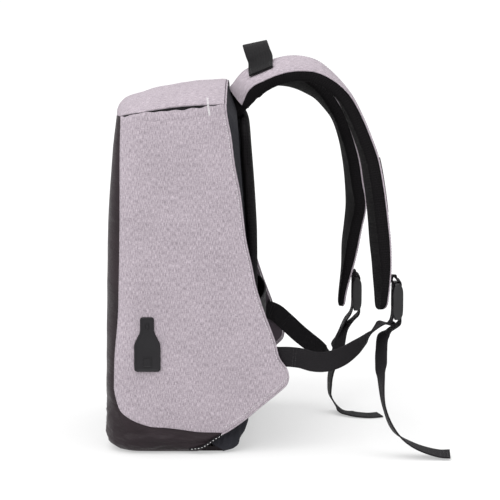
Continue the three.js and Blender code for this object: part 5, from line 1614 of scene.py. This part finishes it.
def port_cover():
    """Bottle-shaped rubber cover with a rounded lip, a sunk field and a plain recess near its foot."""
    y, z = PORT_MIDDLE[0] * DEPTH, PORT_MIDDLE[1] * HEIGHT
    x = float(side_x(y, z)) + 0.5
    stack = [(0, 0), (0, 1.3), (0.35, 1.9), (1.0, 2.2), (2.0, 2.2), (2.5, 1.75), (3.2, 1.6)]
    flat = lambda outline, rise, low: np.stack(
        [np.full(len(outline), x + rise), y + outline[:, 0], z + low + outline[:, 1]], axis=-1)
    rings = np.array([flat(port_outline(shrink), rise, 0) for shrink, rise in stack])
    u, v = np.linspace(0, 200, rings.shape[1] + 1)[None], np.linspace(0, 8, len(rings) + 1)
    obj = tube("port_cover_rubber", rings, u, v, sharp=60)
    marks = []
    for wide, tall, low, radius in ((11, 12.5, -21.5, 1.8), (5.0, 7.5, 22.5, 1.2)):
        angle = np.linspace(0, 2 * np.pi, 41)[:-1]
        corner = np.stack([np.sign(np.cos(angle)) * (wide / 2 - radius) + radius * np.cos(angle),
                           np.sign(np.sin(angle)) * (tall / 2 - radius) + radius * np.sin(angle)], axis=-1)
        around = [flat(corner * s, rise, low)
                  for s, rise in ((1.0, 1.5), (0.98, 2.2), (0.86, 2.3), (0.8, 2.1), (0.76, 1.65))]
        u, v = np.linspace(0, 30, 41)[None], np.linspace(0, 3, 6)
        marks.append(tube("port_mark", np.array(around), u, v))
    join([obj, *marks])
    dress(obj, finish("black_rubber"), "black_rubber", "port_cover")


def top_edge_x(y, z):
    """Half width of the top cloth at a height above its side seam."""
    rise = np.clip((z - slit_z(y) - 2 * SEAM_GAP) / crown_rise(y), 0, 1)
    return side_x(y, slit_z(y)) * np.sqrt(1 - rise ** (4 / 3))


def seam_stitches():
    """Top stitching along the seams and edges of the grey cloth, and the bars at the pocket's ends."""
    pale, edges, bars = [], [], []
    for name, side in (("side_cloth_right", 1), ("side_cloth_left", -1)):
        moved, normal = SURFACES[name]
        lift = moved + normal * 0.2
        width, height = moved.shape[:2]
        edges.append(lift[width // 2 + 10:width - 4, 2])
        edges.append(lift[width - 4, 6:height - 6])
        pale.append(lift[3, 6:height - 6])
        pale.append(lift[8:width - 6, height - 5])
        t = np.linspace(0, 1, 18)
        for shift in (-0.6, 0.6):
            (y0, z0), (y1, z1) = BARTACK
            y, z = mix(y0, y1, t) + shift, mix(z0, z1, t)
            lip = slit_z(y) + 2 * SEAM_GAP
            x = np.where(z > lip, top_edge_x(y, np.maximum(z, lip)), side_x(y, z)) + 0.6
            bars.append(np.stack([side * x, y, z], axis=-1))
    stitches("edge_stitches", "edge", pale, "grey_thread", "grey_cloth")
    stitches("flap_stitches", "flap", edges, "white_thread", "grey_cloth")
    stitches("pocket_bartacks", "bartack", bars, "white_thread", "grey_cloth")


def slit_shade():
    """A dark strip of painted shade inside each pocket slit, where the lips part."""
    y = np.linspace(POCKET_SLIT[0][0] * DEPTH + 3, SHOULDER_Y - 2, 90)
    for side, label in ((1, "right"), (-1, "left")):
        low, high = lower_lip(y, side) + 0.12, slit_z(y) + 0.3
        rows = []
        for share in (0, 0.5, 1):
            z = mix(low, high, share)
            rows.append(np.stack([side * (side_x(y, z) - SLIT_DEPTH), y, z], axis=-1))
        outer = np.stack(rows, axis=1)
        # This dark sheet is painted shade, standing in for the shade inside the slit.
        obj = sheet(f"slit_painted_shade_{label}", outer, outer - np.array([side * 0.8, 0, 0]))
        dress(obj, finish("black_webbing"), "slate_cloth")


def floor_light_camera():
    sizes = bpy.context.scene.backpack_sizes
    mesh = bpy.data.meshes.new("floor")
    reach = 14.0
    corners = [(-reach, -reach, 0), (reach, -reach, 0), (reach, reach, 0), (-reach, reach, 0)]
    mesh.from_pydata(corners, [], [(0, 1, 2, 3)])
    floor = placed_object("floor", mesh)
    f = Finish("Pale floor")
    f.set(Base_Color=(0.42, 0.42, 0.42, 1), Roughness=0.9, Specular_IOR_Level=0.0,
          Emission_Color=(1, 1, 1, 1), Emission_Strength=0.45)
    mesh.materials.append(f.material)
    world = bpy.data.worlds.new("Studio")
    world.use_nodes = True
    tree = world.node_tree
    surroundings = tree.nodes["Background"]
    surroundings.inputs["Color"].default_value = (1, 1, 1, 1)
    surroundings.inputs["Strength"].default_value = sizes.fill_light
    backdrop, path, choose = (tree.nodes.new("ShaderNode" + kind)
                              for kind in ("Background", "LightPath", "MixShader"))
    backdrop.inputs["Color"].default_value = (1, 1, 1, 1)
    backdrop.inputs["Strength"].default_value = 1.05
    tree.links.new(path.outputs["Is Camera Ray"], choose.inputs["Fac"])
    tree.links.new(surroundings.outputs["Background"], choose.inputs[1])
    tree.links.new(backdrop.outputs["Background"], choose.inputs[2])
    tree.links.new(choose.outputs["Shader"], tree.nodes["World Output"].inputs["Surface"])
    bpy.context.scene.world = world
    for name, place, power, spread in (("Key", (2.1, -1.3, 2.3), 1.9, 50),
                                       ("Overhead", (0.1, 0.25, 3.0), 1.8, 60)):
        lamp = bpy.data.lights.new(name, "SUN")
        lamp.energy, lamp.angle = power * sizes.key_light, math.radians(spread)
        light = placed_object(name, lamp)
        light.location = place
        light.rotation_euler = (Vector((0, 0.1, 0.2)) - Vector(place)).to_track_quat("-Z", "Y").to_euler()
    data = bpy.data.cameras.new("Camera")
    data.lens, data.sensor_width = 110.74, 36.0
    camera = placed_object("Camera", data)
    camera.location = (1.980, 0.090, 0.493)
    look = Vector((0.150, 0.084, 0.253)) - camera.location
    camera.rotation_euler = look.to_track_quat("-Z", "Y").to_euler()
    bpy.context.scene.camera = camera
    bpy.context.scene.view_settings.view_transform = "Standard"


# Sizes and colours in the sidebar.
def amount(name, words, value, low, high, **kind):
    return bpy.props.FloatProperty(name=name, description=words, default=value, min=low, max=high, **kind)


class BackpackSizes(bpy.types.PropertyGroup):
    fold: amount("Fold depth", "Depth of the soft folds in the cloth, in millimetres", 1.1, 0, 4)
    puff: amount("Side puff", "How far the padded sides stand out between seams, in millimetres", 1.2, 0, 4)
    pad_swell: amount("Back pad swell", "How far the back pad swells, in millimetres", 1.6, 0.5, 4)
    thread: amount("Thread", "Width of one thread of the woven cloth", 0.00055, 0.0002, 0.003,
                   unit="LENGTH", precision=5)
    heather: amount("Heather", "How much the grey cloth's threads differ in shade", 0.36, 0, 1,
                    subtype="FACTOR")
    fill_light: amount("Fill light", "Strength of the white surroundings", 0.72, 0, 3)
    key_light: amount("Studio lights", "Share of the studio lights' power", 1.0, 0, 4)


def colour(name, words, value):
    return bpy.props.FloatVectorProperty(name=name, description=words, subtype="COLOR", size=3,
                                         default=value, min=0, max=1)


class BackpackColours(bpy.types.PropertyGroup):
    grey: colour("Grey cloth", "Sides, top and strap faces", (0.405, 0.353, 0.393))
    coated: colour("Coated cloth", "Front and base", (0.0172, 0.0110, 0.0138))
    slate: colour("Slate cloth", "Gusset", (0.0215, 0.0215, 0.0275))
    band: colour("Band cloth", "Luggage band", (0.0122, 0.0114, 0.0132))
    lining: colour("Lining", "Inner faces of the flaps", (0.085, 0.068, 0.082))
    black_mesh: colour("Air mesh", "Padded back and strap pads", (0.0046, 0.0040, 0.0046))
    webbing: colour("Webbing", "Straps' webbing and zip tape", (0.0120, 0.0107, 0.0125))
    handle: colour("Handle", "Webbing of the carry handle", (0.0073, 0.0067, 0.0076))
    plastic: colour("Plastic", "Adjusters and zip", (0.010, 0.010, 0.011))
    rubber: colour("Rubber", "Port cover", (0.0125, 0.0116, 0.0134))
    grey_thread: colour("Grey thread", "Seams of the grey cloth", (0.34, 0.30, 0.335))
    white_thread: colour("White thread", "Bartacks and the flap's stitching", (0.85, 0.84, 0.84))


class BACKPACK_OT_front(bpy.types.Operator):
    """Makes the dark coated front with its base wrap, and the base"""
    bl_idname = "backpack.front"
    bl_label = "Front and base"

    def execute(self, context):
        front_cloth()
        base_board()
        return {"FINISHED"}


class BACKPACK_OT_sides(bpy.types.Operator):
    """Makes the grey sides with their flaps and linings, and the grey top"""
    bl_idname = "backpack.sides"
    bl_label = "Sides and top"

    def execute(self, context):
        side_cloth(1, "side_cloth_right", "side_panel_right")
        side_cloth(-1, "side_cloth_left", "side_panel_left")
        flap_lining(1, "flap_lining_right", "wing_lining_right")
        flap_lining(-1, "flap_lining_left", "wing_lining_left")
        top_cloth()
        binding()
        slit_shade()
        seam_stitches()
        return {"FINISHED"}


class BACKPACK_OT_back(bpy.types.Operator):
    """Makes the gusset, the hidden zip, the padded back and the luggage band"""
    bl_idname = "backpack.back"
    bl_label = "Back"

    def execute(self, context):
        gusset_cloth()
        zip_tape()
        back_cushion()
        luggage_strap()
        return {"FINISHED"}


class BACKPACK_OT_straps(bpy.types.Operator):
    """Makes the padded shoulder straps"""
    bl_idname = "backpack.straps"
    bl_label = "Shoulder straps"

    def execute(self, context):
        for side, table in (("right", RIGHT_STRAP), ("left", LEFT_STRAP)):
            strap_foam(side, table)
            strap_root(side, table)
            strap_face(side, table)
            strap_patch(side, table)
        return {"FINISHED"}


class BACKPACK_OT_webbing(bpy.types.Operator):
    """Makes the lower webbing, the adjusters with their bands, and the handle"""
    bl_idname = "backpack.webbing"
    bl_label = "Webbing and handle"

    def execute(self, context):
        webbing("right", RIGHT_LOWER, RIGHT_TAIL, RIGHT_ADJUSTER)
        webbing("left", LEFT_LOWER, LEFT_TAIL, LEFT_ADJUSTER)
        adjuster_loop("right", RIGHT_STRAP, RIGHT_ADJUSTER)
        adjuster_loop("left", LEFT_STRAP, LEFT_ADJUSTER)
        adjuster("right", "adjuster_right")
        adjuster("left", "adjuster_left")
        carry_handle()
        return {"FINISHED"}


class BACKPACK_OT_port(bpy.types.Operator):
    """Makes the rubber cover of the charging port"""
    bl_idname = "backpack.port"
    bl_label = "Port cover"

    def execute(self, context):
        port_cover()
        return {"FINISHED"}


class BACKPACK_OT_stage(bpy.types.Operator):
    """Makes the floor, the lights and the camera"""
    bl_idname = "backpack.stage"
    bl_label = "Stage"

    def execute(self, context):
        floor_light_camera()
        return {"FINISHED"}


class BACKPACK_PT_sidebar(bpy.types.Panel):
    """The backpack's sizes, colours and pieces"""
    bl_label = "Backpack"
    bl_idname = "BACKPACK_PT_sidebar"
    bl_space_type = "VIEW_3D"
    bl_region_type = "UI"
    bl_category = "Backpack"

    def draw(self, context):
        for group in (context.scene.backpack_sizes, context.scene.backpack_colours):
            for key in group.bl_rna.properties.keys():
                if key not in ("rna_type", "name"):
                    self.layout.prop(group, key)
        for operator in OPERATORS:
            self.layout.operator(operator.bl_idname)


OPERATORS = (BACKPACK_OT_front, BACKPACK_OT_sides, BACKPACK_OT_back, BACKPACK_OT_straps,
             BACKPACK_OT_webbing, BACKPACK_OT_port, BACKPACK_OT_stage)
CLASSES = (BackpackSizes, BackpackColours, *OPERATORS, BACKPACK_PT_sidebar)


def register():
    for item in CLASSES:
        bpy.utils.register_class(item)
    bpy.types.Scene.backpack_sizes = bpy.props.PointerProperty(type=BackpackSizes)
    bpy.types.Scene.backpack_colours = bpy.props.PointerProperty(type=BackpackColours)


def unregister():
    del bpy.types.Scene.backpack_sizes
    del bpy.types.Scene.backpack_colours
    for item in reversed(CLASSES):
        bpy.utils.unregister_class(item)


def main():
    register()
    bpy.ops.backpack.front()
    bpy.ops.backpack.sides()
    bpy.ops.backpack.back()
    bpy.ops.backpack.straps()
    bpy.ops.backpack.webbing()
    bpy.ops.backpack.port()
    bpy.ops.backpack.stage()


if __name__ == "__main__":
    main()
